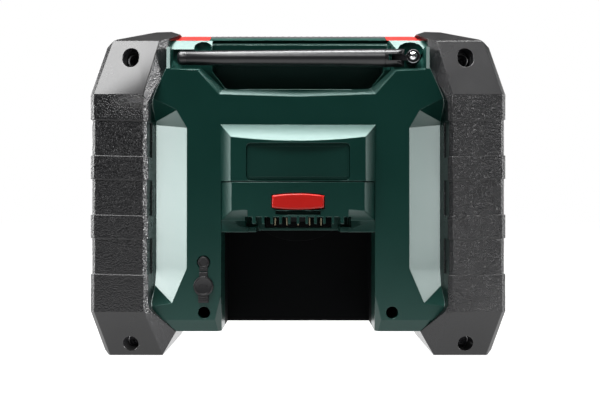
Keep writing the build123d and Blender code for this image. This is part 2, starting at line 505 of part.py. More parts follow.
with BuildPart() as release_button:
    with BuildSketch(facing(74.9)):
        with BuildLine():
            Polyline((-16.0, 100.5), (-16.0, 93.0))
            ThreePointArc((-16.0, 93.0), (0, 91.9), (16.0, 93.0))
            Polyline((16.0, 93.0), (16.0, 100.5))
            ThreePointArc((16.0, 100.5), (0, 101.8), (-16.0, 100.5))
        make_face()
    extrude(amount=9.5)
    fillet(faces().sort_by(Axis.Y)[-1].edges(), 1.1)
    block((-20, 63.4, 91.6), (20, 67.8, 102.5))
    for side in (1, -1):
        block((side * (LATCH_HALF + GAP + 0.2), 58.4, 91.6), (side * EAR_HALF, 64, 102.4))
        add(prism([(LATCH_FRONT + 0.6, 91.6), (58.6, 91.6), (58.6, 102.4), (LATCH_FRONT + 0.6, 96.8)],
                  Plane.YZ.offset(min(side * (LATCH_HALF + GAP + 0.2), side * EAR_HALF)),
                  EAR_HALF - LATCH_HALF - GAP - 0.2))
save(release_button.part, "release_button")

with BuildPart() as latch_bolt:
    block((-LATCH_HALF, LATCH_BACK, 84), (LATCH_HALF, LATCH_FRONT, 105.4))
    with BuildSketch(Plane.YZ.offset(-EAR_HALF)):
        with BuildLine():
            Polyline((47.0, 94.0), (49.5, 94.0), (60.5, 105.0), (60.5, 105.4), (47.0, 105.4), close=True)
        make_face()
    extrude(amount=2 * EAR_HALF)
    block((-LATCH_HALF - 0.1, LATCH_FRONT, 80), (LATCH_HALF + 0.1, 70, 110), Mode.SUBTRACT)
    add(prism([(LATCH_FRONT + 0.1, 83), (LATCH_FRONT + 0.1, 87), (LATCH_FRONT - 3.5, 83)], Plane.YZ.offset(-10), 20),
        mode=Mode.SUBTRACT)
    rod("Z", (0, 48, 93.0), 120, 3.2, Mode.SUBTRACT)
save(latch_bolt.part, "latch_bolt")

with BuildPart() as latch_spring:
    with BuildLine() as coil:
        Helix(pitch=2.7, height=14.6, radius=2.4, center=(0, 48, 93.7))
    with BuildSketch(Plane(origin=coil.line @ 0, z_dir=coil.line % 0)):
        Circle(0.4)
    sweep(path=coil.line, is_frenet=True)
save(latch_spring.part, "latch_spring")

with BuildPart() as rating_plate:
    with BuildSketch(facing(71.0)):
        with Locations((0, 121.5)):
            RectangleRounded(63.4, 22.2, 2.2)
    extrude(amount=0.6)
save(rating_plate.part, "rating_plate")

# ---------------------------------------------------------------- grip strip
STRIP_BACK = [(STRIP_CREST_Y + 4, STRIP_TOP - 0.8), (STRIP_CREST_Y - 1, STRIP_TOP)]
STRIP_CREST = STRIP_BACK + [(-y, z) for y, z in reversed(STRIP_BACK)]
STRIP_VIEW = [(RIDGE_Y, RIDGE_TOP)] + STRIP_CREST + [(-RIDGE_Y, RIDGE_TOP)]
STRIP_END_VIEW = [(END_FOOT_Y, CASE_TOP)] + STRIP_CREST + [(-FRONT_FOOT_Y, CASE_TOP)]
with BuildPart() as grip_strip:
    add(prism(STRIP_VIEW, Plane.YZ.offset(-GRIP_HALF), 2 * GRIP_HALF))
save(grip_strip.part, "grip_strip")
for side, name in ((1, "grip_end_right"), (-1, "grip_end_left")):
    with BuildPart() as grip_end:
        add(prism(STRIP_END_VIEW, Plane.YZ.offset(min(side * GRIP_HALF, side * INNER_EDGE[-1][0])),
                  INNER_EDGE[-1][0] - GRIP_HALF))
        split(bisect_by=Plane(origin=(side * (HOOK_TIP[0] - HOOK_GAP), 0, HOOK_TIP[1]), z_dir=(side * 4.4, 0, 6.6)),
              keep=Keep.BOTTOM)
    save(grip_end.part, name)

# ---------------------------------------------------------------- antenna
with BuildPart() as antenna_base:
    rod("Y", (PIVOT_X, GROOVE_Y + 0.2, PIVOT_Z), 59.5, KNUCKLE_R)
    block((PIVOT_X, WHIP_Y - 3.6, WHIP_Z - 1.7), (WHIP_PIN_X, WHIP_Y + 3.6, WHIP_Z + 1.7))
    rod("Z", (WHIP_PIN_X, WHIP_Y, WHIP_Z - 1.7), WHIP_Z + 1.7, 3.6)
    rod("Y", (PIVOT_X, 59.4, PIVOT_Z), 60.4, KNUCKLE_R)
    rod("Y", (PIVOT_X, 59.6, PIVOT_Z), 61, KNUCKLE_R - 0.9, Mode.SUBTRACT)
    rod("Y", (PIVOT_X, GROOVE_Y - 1, PIVOT_Z), 60, 2.05, Mode.SUBTRACT)
    rod("Z", (WHIP_PIN_X, WHIP_Y, WHIP_Z - 5), WHIP_Z + 5, 1.3, Mode.SUBTRACT)
save(antenna_base.part, "antenna_base")

with BuildPart() as antenna_screw:
    with BuildSketch(Plane.YZ.offset(PIVOT_X)):
        with BuildLine():
            Polyline((59.65, PIVOT_Z), (59.65, PIVOT_Z + 2.9), (60.1, PIVOT_Z + 2.9))
            ThreePointArc((60.1, PIVOT_Z + 2.9), (61.4, PIVOT_Z + 1.8), (61.9, PIVOT_Z))
            Line((61.9, PIVOT_Z), (59.65, PIVOT_Z))
        make_face()
    revolve(axis=Axis((PIVOT_X, 0, PIVOT_Z), (0, 1, 0)))
    rod("Y", (PIVOT_X, 36, PIVOT_Z), 59.7, 1.98)
    block((PIVOT_X - 6, 61.0, PIVOT_Z - 0.45), (PIVOT_X + 6, 63, PIVOT_Z + 0.45), Mode.SUBTRACT)
save(antenna_screw.part, "antenna_screw")

with BuildPart() as antenna_pin:
    rod("Z", (WHIP_PIN_X, WHIP_Y, WHIP_Z - 5.5), WHIP_Z + 5.5, 1.26)
save(antenna_pin.part, "antenna_pin")

FERRULE_END = WHIP_PIN_X + 8
with BuildPart() as antenna_ferrule:
    rod("X", (WHIP_PIN_X - FORK_R - 1, WHIP_Y, WHIP_Z), FERRULE_END, WHIP_R_BASE)
    with BuildPart(mode=Mode.PRIVATE) as round_end:
        block((WHIP_PIN_X, WHIP_Y - 10, WHIP_Z - 10), (FERRULE_END, WHIP_Y + 10, WHIP_Z + 10))
        rod("Z", (WHIP_PIN_X, WHIP_Y, WHIP_Z - 10), WHIP_Z + 10, FORK_R)
    add(round_end.part, mode=Mode.INTERSECT)
    rod("X", (FERRULE_END - 1, WHIP_Y, WHIP_Z), FERRULE_END + 12, 2.0)
    block((WHIP_PIN_X - 6, WHIP_Y - 8, WHIP_Z - 1.95), (WHIP_PIN_X + 5.6, WHIP_Y + 8, WHIP_Z + 1.95), Mode.SUBTRACT)
    rod("Z", (WHIP_PIN_X, WHIP_Y, WHIP_Z - 6), WHIP_Z + 6, 1.28, Mode.SUBTRACT)
save(antenna_ferrule.part, "antenna_ferrule")

with BuildPart() as antenna_whip:
    with Locations(Location(((FERRULE_END + WHIP_TIP_X) / 2, WHIP_Y, WHIP_Z), AXES["X"])):
        Cone(WHIP_R_BASE, WHIP_R_TIP, WHIP_TIP_X - FERRULE_END)
    fillet(edges().sort_by(Axis.X)[-1], 3.2)
    rod("X", (FERRULE_END - 1, WHIP_Y, WHIP_Z), FERRULE_END + 12.1, 2.02, Mode.SUBTRACT)
save(antenna_whip.part, "antenna_whip")

# ---------------------------------------------------------------- supply socket
with BuildPart() as dc_jack:
    rod("Y", (SOCKET_X, 46, SOCKET_Z), PANEL_Y - 0.4, 4.6)
    rod("Y", (SOCKET_X, 50, SOCKET_Z), PANEL_Y + 1, 3.2, Mode.SUBTRACT)
    rod("Y", (SOCKET_X, 49, SOCKET_Z), 57.5, 0.9)
save(dc_jack.part, "dc_jack")

with BuildPart() as dc_cap:
    with BuildSketch(facing(PANEL_Y + 2.3)):
        with Locations((SOCKET_X, SOCKET_Z)):
            Circle(6.3)
            Rectangle(6.4, 10.4, align=(Align.CENTER, Align.MAX))
    extrude(amount=2.2)
    chamfer(faces().sort_by(Axis.Y)[-1].edges(), 0.6)
    rod("Y", (SOCKET_X, PANEL_Y - 2.0, SOCKET_Z), PANEL_Y + 0.2, 2.6)
    block((SOCKET_X - STRAP_HALF, SOCKET_HINGE_Y - STRAP_R, SOCKET_Z + 5),
          (SOCKET_X + STRAP_HALF, SOCKET_HINGE_Y + STRAP_R, SOCKET_HINGE_Z))
    rod("X", (SOCKET_X - STRAP_HALF, SOCKET_HINGE_Y, SOCKET_HINGE_Z), SOCKET_X + STRAP_HALF, STRAP_R)
save(dc_cap.part, "dc_cap")

with BuildPart() as dc_cap_anchor:
    rod("Y", (SOCKET_X, PANEL_Y - 1.5, ANCHOR_Z), PANEL_Y + 1.0, 3.6)
    block((SOCKET_X - STRAP_HALF, PANEL_Y + 0.02, SOCKET_HINGE_Z + 1.0),
          (SOCKET_X + STRAP_HALF, SOCKET_HINGE_Y + 0.4, ANCHOR_Z))
save(dc_cap_anchor.part, "dc_cap_anchor")

# ---------------------------------------------------------------- case screws
with BuildPart() as housing_screws:
    for side in (1, -1):
        rod("Y", (side * CASE_SCREW_X, 10.1, CASE_SCREW_Z), 13, 3.5)
        rod("Y", (side * CASE_SCREW_X, -24, CASE_SCREW_Z), 10.2, 1.9)
save(housing_screws.part, "housing_screws")

# ---------------------------------------------------------------- speaker
FLANGE_Y = -PANEL_Y + WALL
with BuildPart() as speaker_grille:
    rod("Y", (0, -PANEL_Y - 0.8, SPEAKER_Z), -PANEL_Y + 1.3, GRILLE_R)
    with BuildSketch(facing(-PANEL_Y - 2)) as slots:
        Rectangle(1, 1)
        with Locations((0, SPEAKER_Z)):
            with GridLocations(0, 5.2, 1, 19):
                Rectangle(2 * GRILLE_R, 2.6)
        with BuildSketch(mode=Mode.PRIVATE) as field:
            with Locations((0, SPEAKER_Z)):
                Circle(46.5)
                with GridLocations(31, 0, 3, 1):
                    Rectangle(2.2, 2 * GRILLE_R, mode=Mode.SUBTRACT)
        add(field.sketch, mode=Mode.INTERSECT)
    extrude(amount=-4, mode=Mode.SUBTRACT)
save(speaker_grille.part, "speaker_grille")

with BuildPart() as speaker_basket:
    with BuildSketch(Plane.YZ):
        with BuildLine():
            Polyline((FLANGE_Y + 0.1, SPEAKER_Z + 50), (FLANGE_Y + 0.1, SPEAKER_Z + 57), (FLANGE_Y + 3.1, SPEAKER_Z + 57),
                     (FLANGE_Y + 3.1, SPEAKER_Z + 50), (-32, SPEAKER_Z + 32), (-32, SPEAKER_Z + 18),
                     (-34.5, SPEAKER_Z + 18), (-34.5, SPEAKER_Z + 30), (FLANGE_Y + 2.0, SPEAKER_Z + 47.6),
                     (FLANGE_Y + 0.1, SPEAKER_Z + 48.4), close=True)
        make_face()
    revolve(axis=Axis((0, 0, SPEAKER_Z), (0, 1, 0)))
save(speaker_basket.part, "speaker_basket")

with BuildPart() as speaker_surround:
    with BuildSketch(Plane.YZ):
        with BuildLine():
            Polyline((FLANGE_Y - 0.1, SPEAKER_Z + 40), (FLANGE_Y - 0.1, SPEAKER_Z + 48))
            ThreePointArc((FLANGE_Y - 0.1, SPEAKER_Z + 48), (FLANGE_Y - 1.4, SPEAKER_Z + 44),
                          (FLANGE_Y - 0.1, SPEAKER_Z + 40))
        make_face()
    revolve(axis=Axis((0, 0, SPEAKER_Z), (0, 1, 0)))
save(speaker_surround.part, "speaker_surround")

with BuildPart() as speaker_cone:
    with BuildSketch(Plane.YZ):
        with BuildLine():
            Polyline((FLANGE_Y, SPEAKER_Z + 40.2), (FLANGE_Y, SPEAKER_Z + 44), (FLANGE_Y + 1.4, SPEAKER_Z + 42),
                     (-38.4, SPEAKER_Z + 14), (-40, SPEAKER_Z + 14), close=True)
        make_face()
    revolve(axis=Axis((0, 0, SPEAKER_Z), (0, 1, 0)))
save(speaker_cone.part, "speaker_cone")

DUST_CAP_R, DUST_CAP_RISE = 15.0, 6.8
DUST_CAP_SPHERE = (DUST_CAP_R ** 2 + DUST_CAP_RISE ** 2) / (2 * DUST_CAP_RISE)
with BuildPart() as dust_cap:
    with Locations((0, -41.3 - DUST_CAP_RISE + DUST_CAP_SPHERE, SPEAKER_Z)):
        Sphere(DUST_CAP_SPHERE)
    block((-20, -41.3, SPEAKER_Z - 20), (20, 0, SPEAKER_Z + 20), Mode.SUBTRACT)
save(dust_cap.part, "dust_cap")

with BuildPart() as speaker_magnet:
    rod("Y", (0, -31.9, SPEAKER_Z), -28, 32)
    rod("Y", (0, -28, SPEAKER_Z), -14, 36)
    rod("Y", (0, -14, SPEAKER_Z), -11, 32)
    rod("Y", (0, -38, SPEAKER_Z), -31.8, 12.6)
save(speaker_magnet.part, "speaker_magnet")

with BuildPart() as speaker_screws:
    for x in (-37.5, 37.5):
        for z in (-37.5, 37.5):
            rod("Y", (x, FLANGE_Y + 3.15, SPEAKER_Z + z), FLANGE_Y + 5.2, 3)
save(speaker_screws.part, "speaker_screws")

# ---------------------------------------------------------------- controls
PANEL_FACE = -PANEL_Y - 0.4
with BuildPart() as control_panel:
    with BuildSketch(facing(-PANEL_Y + 1.5)):
        with Locations((0, KEY_Z)):
            RectangleRounded(150, 20, 3.8)
            RectangleRounded(60, 16.4, 2, mode=Mode.SUBTRACT)
        with Locations(*[(x, KEY_Z) for x in KEY_PLACES]):
            RectangleRounded(10.6, 8.6, 1.6, mode=Mode.SUBTRACT)
    extrude(amount=1.5 + 0.4)
save(control_panel.part, "control_panel")

with BuildPart() as display_lens:
    with BuildSketch(facing(-PANEL_Y + 1.4)):
        with Locations((0, KEY_Z)):
            RectangleRounded(59.8, 16.2, 1.9)
    extrude(amount=1.5)
save(display_lens.part, "display_lens")

with BuildPart() as display_module:
    block((-29, -PANEL_Y + 1.6, KEY_Z - 7.8), (29, -PANEL_Y + 6.5, KEY_Z + 7.8))
save(display_module.part, "display_module")

for name, x in zip(KEY_NAMES, KEY_PLACES):
    with BuildPart() as key:
        with BuildSketch(facing(-PANEL_Y + 3.3)):
            with Locations((x, KEY_Z)):
                RectangleRounded(10, 8, 1.3)
        extrude(amount=3.3 + 1.8)
        fillet(faces().sort_by(Axis.Y)[0].edges(), 0.6)
        block((x - 6, -PANEL_Y + WALL + 0.2, KEY_Z - 5), (x + 6, -PANEL_Y + WALL + 1.4, KEY_Z + 5))
    save(key.part, name)

with BuildPart() as control_board:
    block((-73, -54.0, KEY_Z - 9.5), (73, -52.4, KEY_Z + 9))
    for x in KEY_PLACES:
        block((x - 3, -56.3, KEY_Z - 3), (x + 3, -53.9, KEY_Z + 3))
save(control_board.part, "control_board")

with BuildPart() as volume_dial:
    rod("Y", (0, -PANEL_Y - 0.6, DIAL_Z), -PANEL_Y - 12, DIAL_R)
    chamfer(edges().filter_by(GeomType.CIRCLE).sort_by(Axis.Y)[0], 1.2)
    rod("Y", (0, -PANEL_Y - 9, DIAL_Z), -PANEL_Y, 3.02, Mode.SUBTRACT)
    rod("Y", (0, -PANEL_Y - 4.5, DIAL_Z), -PANEL_Y, 8.0, Mode.SUBTRACT)
save(volume_dial.part, "volume_dial")

with BuildPart() as dial_shaft:
    rod("Y", (0, -PANEL_Y - 8.9, DIAL_Z), -50, 3.0)
save(dial_shaft.part, "dial_shaft")

with BuildPart() as encoder:
    block((-7, -PANEL_Y + WALL + 0.1, DIAL_Z - 7), (7, -51, DIAL_Z + 7))
    rod("Y", (0, -PANEL_Y - 3.6, DIAL_Z), -PANEL_Y + WALL + 1, 4.5)
    rod("Y", (0, -PANEL_Y - 5, DIAL_Z), -49.5, 3.05, Mode.SUBTRACT)
save(encoder.part, "encoder")

with BuildPart() as encoder_nut:
    with BuildSketch(facing(-PANEL_Y - 0.05)):
        with Locations((0, DIAL_Z)):
            RegularPolygon(6.6, 6)
            Circle(4.52, mode=Mode.SUBTRACT)
    extrude(amount=2.0)
save(encoder_nut.part, "encoder_nut")

with BuildPart() as main_board:
    block((-46, 30, 116), (46, 31.6, 156))
    block((-38, 31.5, 122), (-20, 40, 150))
    block((-10, 31.5, 124), (14, 35, 146))
    block((22, 31.5, 120), (40, 43, 134))
    for x, z in ((30, 144), (20, 144)):
        rod("Y", (x, 31.5, z), 43, 3.5)
save(main_board.part, "main_board")
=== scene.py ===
# %% [markdown]
# # A jobsite radio, dressed for its picture
# The radio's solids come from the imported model, which already has every shape at its real size.  This
# notebook gives each of them a finish, rounds the edges that would shine on a moulded part, and builds
# the small pieces that a plain solid can't show.  Each step is a cell of its own, so that one finish or
# one piece can be changed and run again without reading the rest.

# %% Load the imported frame
import json
import math

import bmesh
import bpy
from mathutils import Matrix, Vector


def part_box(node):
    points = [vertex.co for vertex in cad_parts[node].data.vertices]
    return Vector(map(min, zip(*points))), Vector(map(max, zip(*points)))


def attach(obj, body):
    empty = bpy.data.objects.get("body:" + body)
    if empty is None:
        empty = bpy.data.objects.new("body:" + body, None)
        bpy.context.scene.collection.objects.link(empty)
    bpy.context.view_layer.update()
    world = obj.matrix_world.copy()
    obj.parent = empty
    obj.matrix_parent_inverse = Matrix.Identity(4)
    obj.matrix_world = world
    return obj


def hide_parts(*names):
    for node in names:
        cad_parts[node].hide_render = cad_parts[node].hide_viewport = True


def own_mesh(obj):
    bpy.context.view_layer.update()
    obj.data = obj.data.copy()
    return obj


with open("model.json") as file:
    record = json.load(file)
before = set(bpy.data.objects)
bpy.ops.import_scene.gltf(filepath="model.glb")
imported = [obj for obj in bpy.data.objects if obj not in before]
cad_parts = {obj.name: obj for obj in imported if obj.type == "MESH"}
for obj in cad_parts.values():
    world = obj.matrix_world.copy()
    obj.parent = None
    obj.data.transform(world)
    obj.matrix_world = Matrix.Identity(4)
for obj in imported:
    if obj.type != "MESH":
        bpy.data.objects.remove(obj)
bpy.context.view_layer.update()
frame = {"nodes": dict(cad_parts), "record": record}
nodes = frame["nodes"]
body_of = {name: body for body, names in frame["record"]["behaviour"]["bodies"].items() for name in names}
slot_of = {part["node"]: part["material_slot"] for part in frame["record"]["subparts"]}
MM = 0.001

# %% [markdown]
# ## Camera
# The radio is looked at squarely from behind, from a little under half its height, so the camera stands
# on the +Y side and looks along -Y.  It could be aimed with a Track To constraint, but a level view down
# one axis only needs a plain rotation.  The lens is a short telephoto, as product pictures use, which
# keeps the side walls of the bumpers narrow.

# %% Camera
CAMERA_PLACE = (-0.0012, 0.777, 0.0978)
LENS, SENSOR = 68.5, 36  # millimetres
scene = bpy.context.scene
camera = bpy.data.objects.new("camera", bpy.data.cameras.new("camera"))
scene.collection.objects.link(camera)
camera.location = CAMERA_PLACE
camera.rotation_euler = (math.radians(90), 0, math.radians(180))
camera.data.sensor_width = SENSOR
camera.data.lens = LENS
scene.camera = camera
scene.view_settings.view_transform = "Standard"
print("field of view", round(math.degrees(camera.data.angle), 1), "degrees")

# %% [markdown]
# ## Soft boxes
# Black rubber and dark green plastic show their shape by what they reflect, and one lamp near the camera
# would only grey them.  So most of the light comes from a long box overhead and two large ones at the
# sides, which catch bevels and slopes and leave the faces towards the camera dark.  The slope box and the
# front box fill what those leave black.  The last five are smaller, and each is kept to one moulding
# later on, as a photographer does with cards and flags.  A bright sky all round would be simpler, but it
# can't leave a face dark beside a bright bevel.


# %% Soft boxes
def soft_box(name, place, aim, size, power):
    lamp = bpy.data.objects.new(name, bpy.data.lights.new(name, "AREA"))
    scene.collection.objects.link(lamp)
    lamp.data.shape = "RECTANGLE"
    lamp.data.size, lamp.data.size_y = size
    lamp.data.energy = power
    lamp.location = place
    lamp.rotation_euler = (Vector(aim) - Vector(place)).to_track_quat("-Z", "Y").to_euler()
    return lamp


# For each box: where it stands, the point that it faces, its width and height in metres, and its watts.
SOFT_BOXES = {
    "overhead_box": ((0, 0, 1.3), (0, 0, 0.1), (1.4, 0.3), 40),
    "side_box_left": ((1.1, -0.45, 0.3), (0.08, 0.05, 0.12), (1.2, 0.8), 26),
    "side_box_right": ((-1.1, -0.45, 0.3), (-0.08, 0.05, 0.12), (1.2, 0.8), 13),
    "slope_box": ((0.30, 0.57, 1.24), (0.1, 0.06, 0.18), (0.6, 0.4), 12),
    "front_box": ((0.4, -1.2, 0.3), (0, 0, 0.1), (1.0, 0.6), 8),
    "right_fill": ((-0.42, 1.3, 0.12), (-0.11, 0.07, 0.1), (0.2, 0.6), 11),
    "inner_bevel_box": ((-1.1, 0.25, 0.15), (0.094, 0.07, 0.11), (0.3, 0.7), 45),
    "whip_box": ((0.05, 0.95, 0.85), (0, 0.06, 0.187), (0.9, 0.25), 5),
    "low_box_left": ((0.42, -0.16, 0.02), (0.085, 0.046, 0.149), (0.3, 0.25), 0.7),
    "low_box_right": ((-0.42, -0.16, 0.02), (-0.085, 0.046, 0.149), (0.3, 0.25), 0.45),
}
lamps = {name: soft_box(name, *values) for name, values in SOFT_BOXES.items()}
print(len(lamps), "soft boxes,", round(sum(lamp.data.energy for lamp in lamps.values()), 1), "watts in all")

# %% [markdown]
# ## Sky
# The backdrop is white, and it has to stay white without more light on the radio.  A brighter world would
# do it, but would wash out the black rubber.  So the world is bright only for the camera's own rays, and
# dim for the rays that light and mirror, and the dark parts keep their depth.


# %% A strength that depends on the ray
def light_by_ray(tree, seen, mirrored, otherwise):
    """One strength for the camera's rays, one for mirrored rays (a number or a socket), one for the rest."""
    path = tree.nodes.new("ShaderNodeLightPath")
    first = tree.nodes.new("ShaderNodeMix")
    first.inputs[2].default_value = otherwise
    if isinstance(mirrored, (int, float)):
        first.inputs[3].default_value = mirrored
    else:
        tree.links.new(mirrored, first.inputs[3])
    tree.links.new(path.outputs["Is Glossy Ray"], first.inputs[0])
    second = tree.nodes.new("ShaderNodeMix")
    second.inputs[3].default_value = seen
    tree.links.new(path.outputs["Is Camera Ray"], second.inputs[0])
    tree.links.new(first.outputs[0], second.inputs[2])
    return second.outputs[0]


# %% Sky
SKY_SEEN, SKY_MIRRORED, SKY_LIGHT = 1.0, 0.03, 0.07
world = bpy.data.worlds.new("white_room")
world.use_nodes = True
scene.world = world
sky = world.node_tree.nodes["Background"]
sky.inputs["Color"].default_value = (1, 1, 1, 1)
sky_strength = light_by_ray(world.node_tree, SKY_SEEN, SKY_MIRRORED, SKY_LIGHT)
world.node_tree.links.new(sky_strength, sky.inputs["Strength"])
print("sky strength", SKY_SEEN, "seen,", SKY_MIRRORED, "mirrored,", SKY_LIGHT, "as light")

# %% [markdown]
# ## Floor
# The floor is as white as the sky to the camera and still takes the radio's shadow.  What the radio
# mirrors of it fades with distance, so its upright faces stay darker than the low ones.  A small floor
# would give the same fade, but its edge would show as a line in the picture.

# %% Floor
FLOOR_REACH = 4  # metres from the middle to the edge
FLOOR_SEEN, FLOOR_GLOW = 0.99, 1.35
GLOW_FULL_AT, GLOW_GONE_AT = 0.28, 0.60  # metres from the radio's middle
bed = bmesh.new()
bmesh.ops.create_grid(bed, x_segments=1, y_segments=1, size=FLOOR_REACH)
floor_mesh = bpy.data.meshes.new("floor")
bed.to_mesh(floor_mesh)
bed.free()
floor = bpy.data.objects.new("floor", floor_mesh)
scene.collection.objects.link(floor)
print("floor", 2 * FLOOR_REACH, "m wide")

# %% Floor's paint: matt grey under light, white to the camera
floor_paint = bpy.data.materials.new("pale_floor")
floor_paint.use_nodes = True
floor_tree = floor_paint.node_tree
floor_shader = floor_tree.nodes["Principled BSDF"]
floor_shader.inputs["Base Color"].default_value = (0.10, 0.10, 0.10, 1)
floor_shader.inputs["Roughness"].default_value = 0.9
floor_shader.inputs["Emission Color"].default_value = (1, 1, 1, 1)
floor_place = floor_tree.nodes.new("ShaderNodeTexCoord")
distance = floor_tree.nodes.new("ShaderNodeVectorMath")
distance.operation = "LENGTH"
floor_tree.links.new(floor_place.outputs["Object"], distance.inputs[0])
glow = floor_tree.nodes.new("ShaderNodeMapRange")
glow.inputs["From Min"].default_value = GLOW_FULL_AT
glow.inputs["From Max"].default_value = GLOW_GONE_AT
glow.inputs["To Min"].default_value = FLOOR_GLOW
glow.inputs["To Max"].default_value = 0.0
floor_tree.links.new(distance.outputs["Value"], glow.inputs["Value"])
floor_strength = light_by_ray(floor_tree, FLOOR_SEEN, glow.outputs["Result"], 0.0)
floor_tree.links.new(floor_strength, floor_shader.inputs["Emission Strength"])
floor_mesh.materials.append(floor_paint)
print("floor glows from", GLOW_FULL_AT, "to", GLOW_GONE_AT, "m")

# %% [markdown]
# ## Shared surface effects
# Moulded plastic, rubber and plated metal differ in colour, but they share effects: a fine mould
# texture, a leather grain with painted shade in its creases, edges painted lighter as wear and as a
# painted highlight, and dust in the upward faces.  Each effect is one node group with named sockets,
# placed in every finish that needs it with its own values.  Copying the nodes into each material would
# work too, but then a change to the grain means a change in ten places.


# %% Helpers for node groups
def start_group(name, numbers, outputs):
    """A new group with number inputs and their usual values, and the names of its outputs."""
    group = bpy.data.node_groups.new(name, "ShaderNodeTree")
    for label, value in numbers.items():
        socket = group.interface.new_socket(label, in_out="INPUT", socket_type="NodeSocketFloat")
        socket.default_value = value
    for label in outputs:
        group.interface.new_socket(label, in_out="OUTPUT", socket_type="NodeSocketFloat")
    return group, group.nodes.new("NodeGroupInput"), group.nodes.new("NodeGroupOutput")


def maths(tree, operation, first, second=None, clamp=False):
    """A Math node fed by sockets or numbers; gives its output socket."""
    node = tree.nodes.new("ShaderNodeMath")
    node.operation = operation
    node.use_clamp = clamp
    for socket, value in zip(node.inputs, (first, second)):
        if isinstance(value, (int, float)):
            socket.default_value = value
        elif value is not None:
            tree.links.new(value, socket)
    return node.outputs[0]


def noise(tree, scale, detail=2.0, roughness=0.5):
    """Noise on Object coordinates; scale is a number or a socket, in turns per metre."""
    place = tree.nodes.new("ShaderNodeTexCoord")
    node = tree.nodes.new("ShaderNodeTexNoise")
    tree.links.new(place.outputs["Object"], node.inputs["Vector"])
    if isinstance(scale, (int, float)):
        node.inputs["Scale"].default_value = scale
    else:
        tree.links.new(scale, node.inputs["Scale"])
    node.inputs["Detail"].default_value = detail
    node.inputs["Roughness"].default_value = roughness
    return node.outputs["Fac"]


def surface_direction(tree, output):
    """The surface's own direction as three numbers; the output is Normal or True Normal."""
    geometry = tree.nodes.new("ShaderNodeNewGeometry")
    parts = tree.nodes.new("ShaderNodeSeparateXYZ")
    tree.links.new(geometry.outputs[output], parts.inputs[0])
    return parts.outputs


# %% [markdown]
# ### Mould texture
# A case mould is spark-eroded, which leaves a skin of tiny even pits and slow cloudy changes in gloss.
# An image could hold it, but it would repeat and needs a flat layout of each part.  Two noises on the
# object's own coordinates cover every part alike.

# %% Mould texture
MOULD_SCALE, CLOUD_SCALE = 1400.0, 30.0  # turns per metre
mould, mould_in, mould_out = start_group("mould_texture", {"Scale": MOULD_SCALE, "Cloud Scale": CLOUD_SCALE},
                                         ["Height", "Cloud"])
mould.links.new(noise(mould, mould_in.outputs["Scale"], 1.5, 0.6), mould_out.inputs["Height"])
mould.links.new(noise(mould, mould_in.outputs["Cloud Scale"], 3.0), mould_out.inputs["Cloud"])
print("mould grain", round(1 / MOULD_SCALE / MM, 2), "mm across")

# %% [markdown]
# ### Leather grain
# The bumpers are moulded with rounded pebbles and creases between them.  Displacing a mesh that finely
# would take millions of faces, so a cell pattern bumps the surface instead, warped a little so that the
# rows don't show.  The creases are also painted darker, as painted shade between the pebbles.  The grain
# fades on sloping faces, because light from above grazes those and would turn every pebble into a spark.

# %% Leather grain
WARP_SCALE, WARP_REACH = 260.0, 0.0009  # turns per metre, and metres
PEBBLE_SOFTNESS = 0.35
GRAIN_UPRIGHT, GRAIN_LOSS = 1.12, 2.4  # the grain is gone where the direction's height passes 1.12 / 2.4
leather, leather_in, leather_out = start_group("leather_grain", {"Scale": 900.0}, ["Height", "Crease Shade"])
leather_place = leather.nodes.new("ShaderNodeTexCoord")
warp = leather.nodes.new("ShaderNodeTexNoise")
warp.inputs["Scale"].default_value = WARP_SCALE
warp.inputs["Detail"].default_value = 2.0
leather.links.new(leather_place.outputs["Object"], warp.inputs["Vector"])
shifted = leather.nodes.new("ShaderNodeMix")
shifted.data_type = "VECTOR"
shifted.inputs[0].default_value = WARP_REACH
leather.links.new(leather_place.outputs["Object"], shifted.inputs[4])
leather.links.new(warp.outputs["Color"], shifted.inputs[5])
pebbles = leather.nodes.new("ShaderNodeTexVoronoi")
pebbles.feature = "SMOOTH_F1"
pebbles.inputs["Smoothness"].default_value = PEBBLE_SOFTNESS
leather.links.new(leather_in.outputs["Scale"], pebbles.inputs["Scale"])
leather.links.new(shifted.outputs[1], pebbles.inputs["Vector"])
from_middle = pebbles.outputs["Distance"]
# This output darkens the colour in the creases between pebbles: painted shade.
leather.links.new(maths(leather, "MULTIPLY", from_middle, from_middle), leather_out.inputs["Crease Shade"])
dome = maths(leather, "SUBTRACT", 1.0, from_middle, clamp=True)
tilt = maths(leather, "ABSOLUTE", surface_direction(leather, "True Normal")["Z"])
upright = maths(leather, "SUBTRACT", GRAIN_UPRIGHT, maths(leather, "MULTIPLY", tilt, GRAIN_LOSS), clamp=True)
leather.links.new(maths(leather, "MULTIPLY", dome, upright), leather_out.inputs["Height"])
print("leather grain with", len(leather.nodes), "nodes")

# %% [markdown]
# ### Rubbed edges with a painted highlight
# Handling polishes the outer edges of plastic and rubber to a lighter tone, and the same lighter tone
# stands in for the light that the rounded edges catch, as a painted highlight.  Painting them by hand
# would have to be done again after every change of shape.  Comparing the surface's direction with one
# that is rounded over a short reach finds the edges by itself, and a noise breaks them into patches.

# %% Rubbed edges with a painted highlight: how far the rounded direction leaves the face's own
RUB_HIGHLIGHT_REACH = 0.9  # millimetres
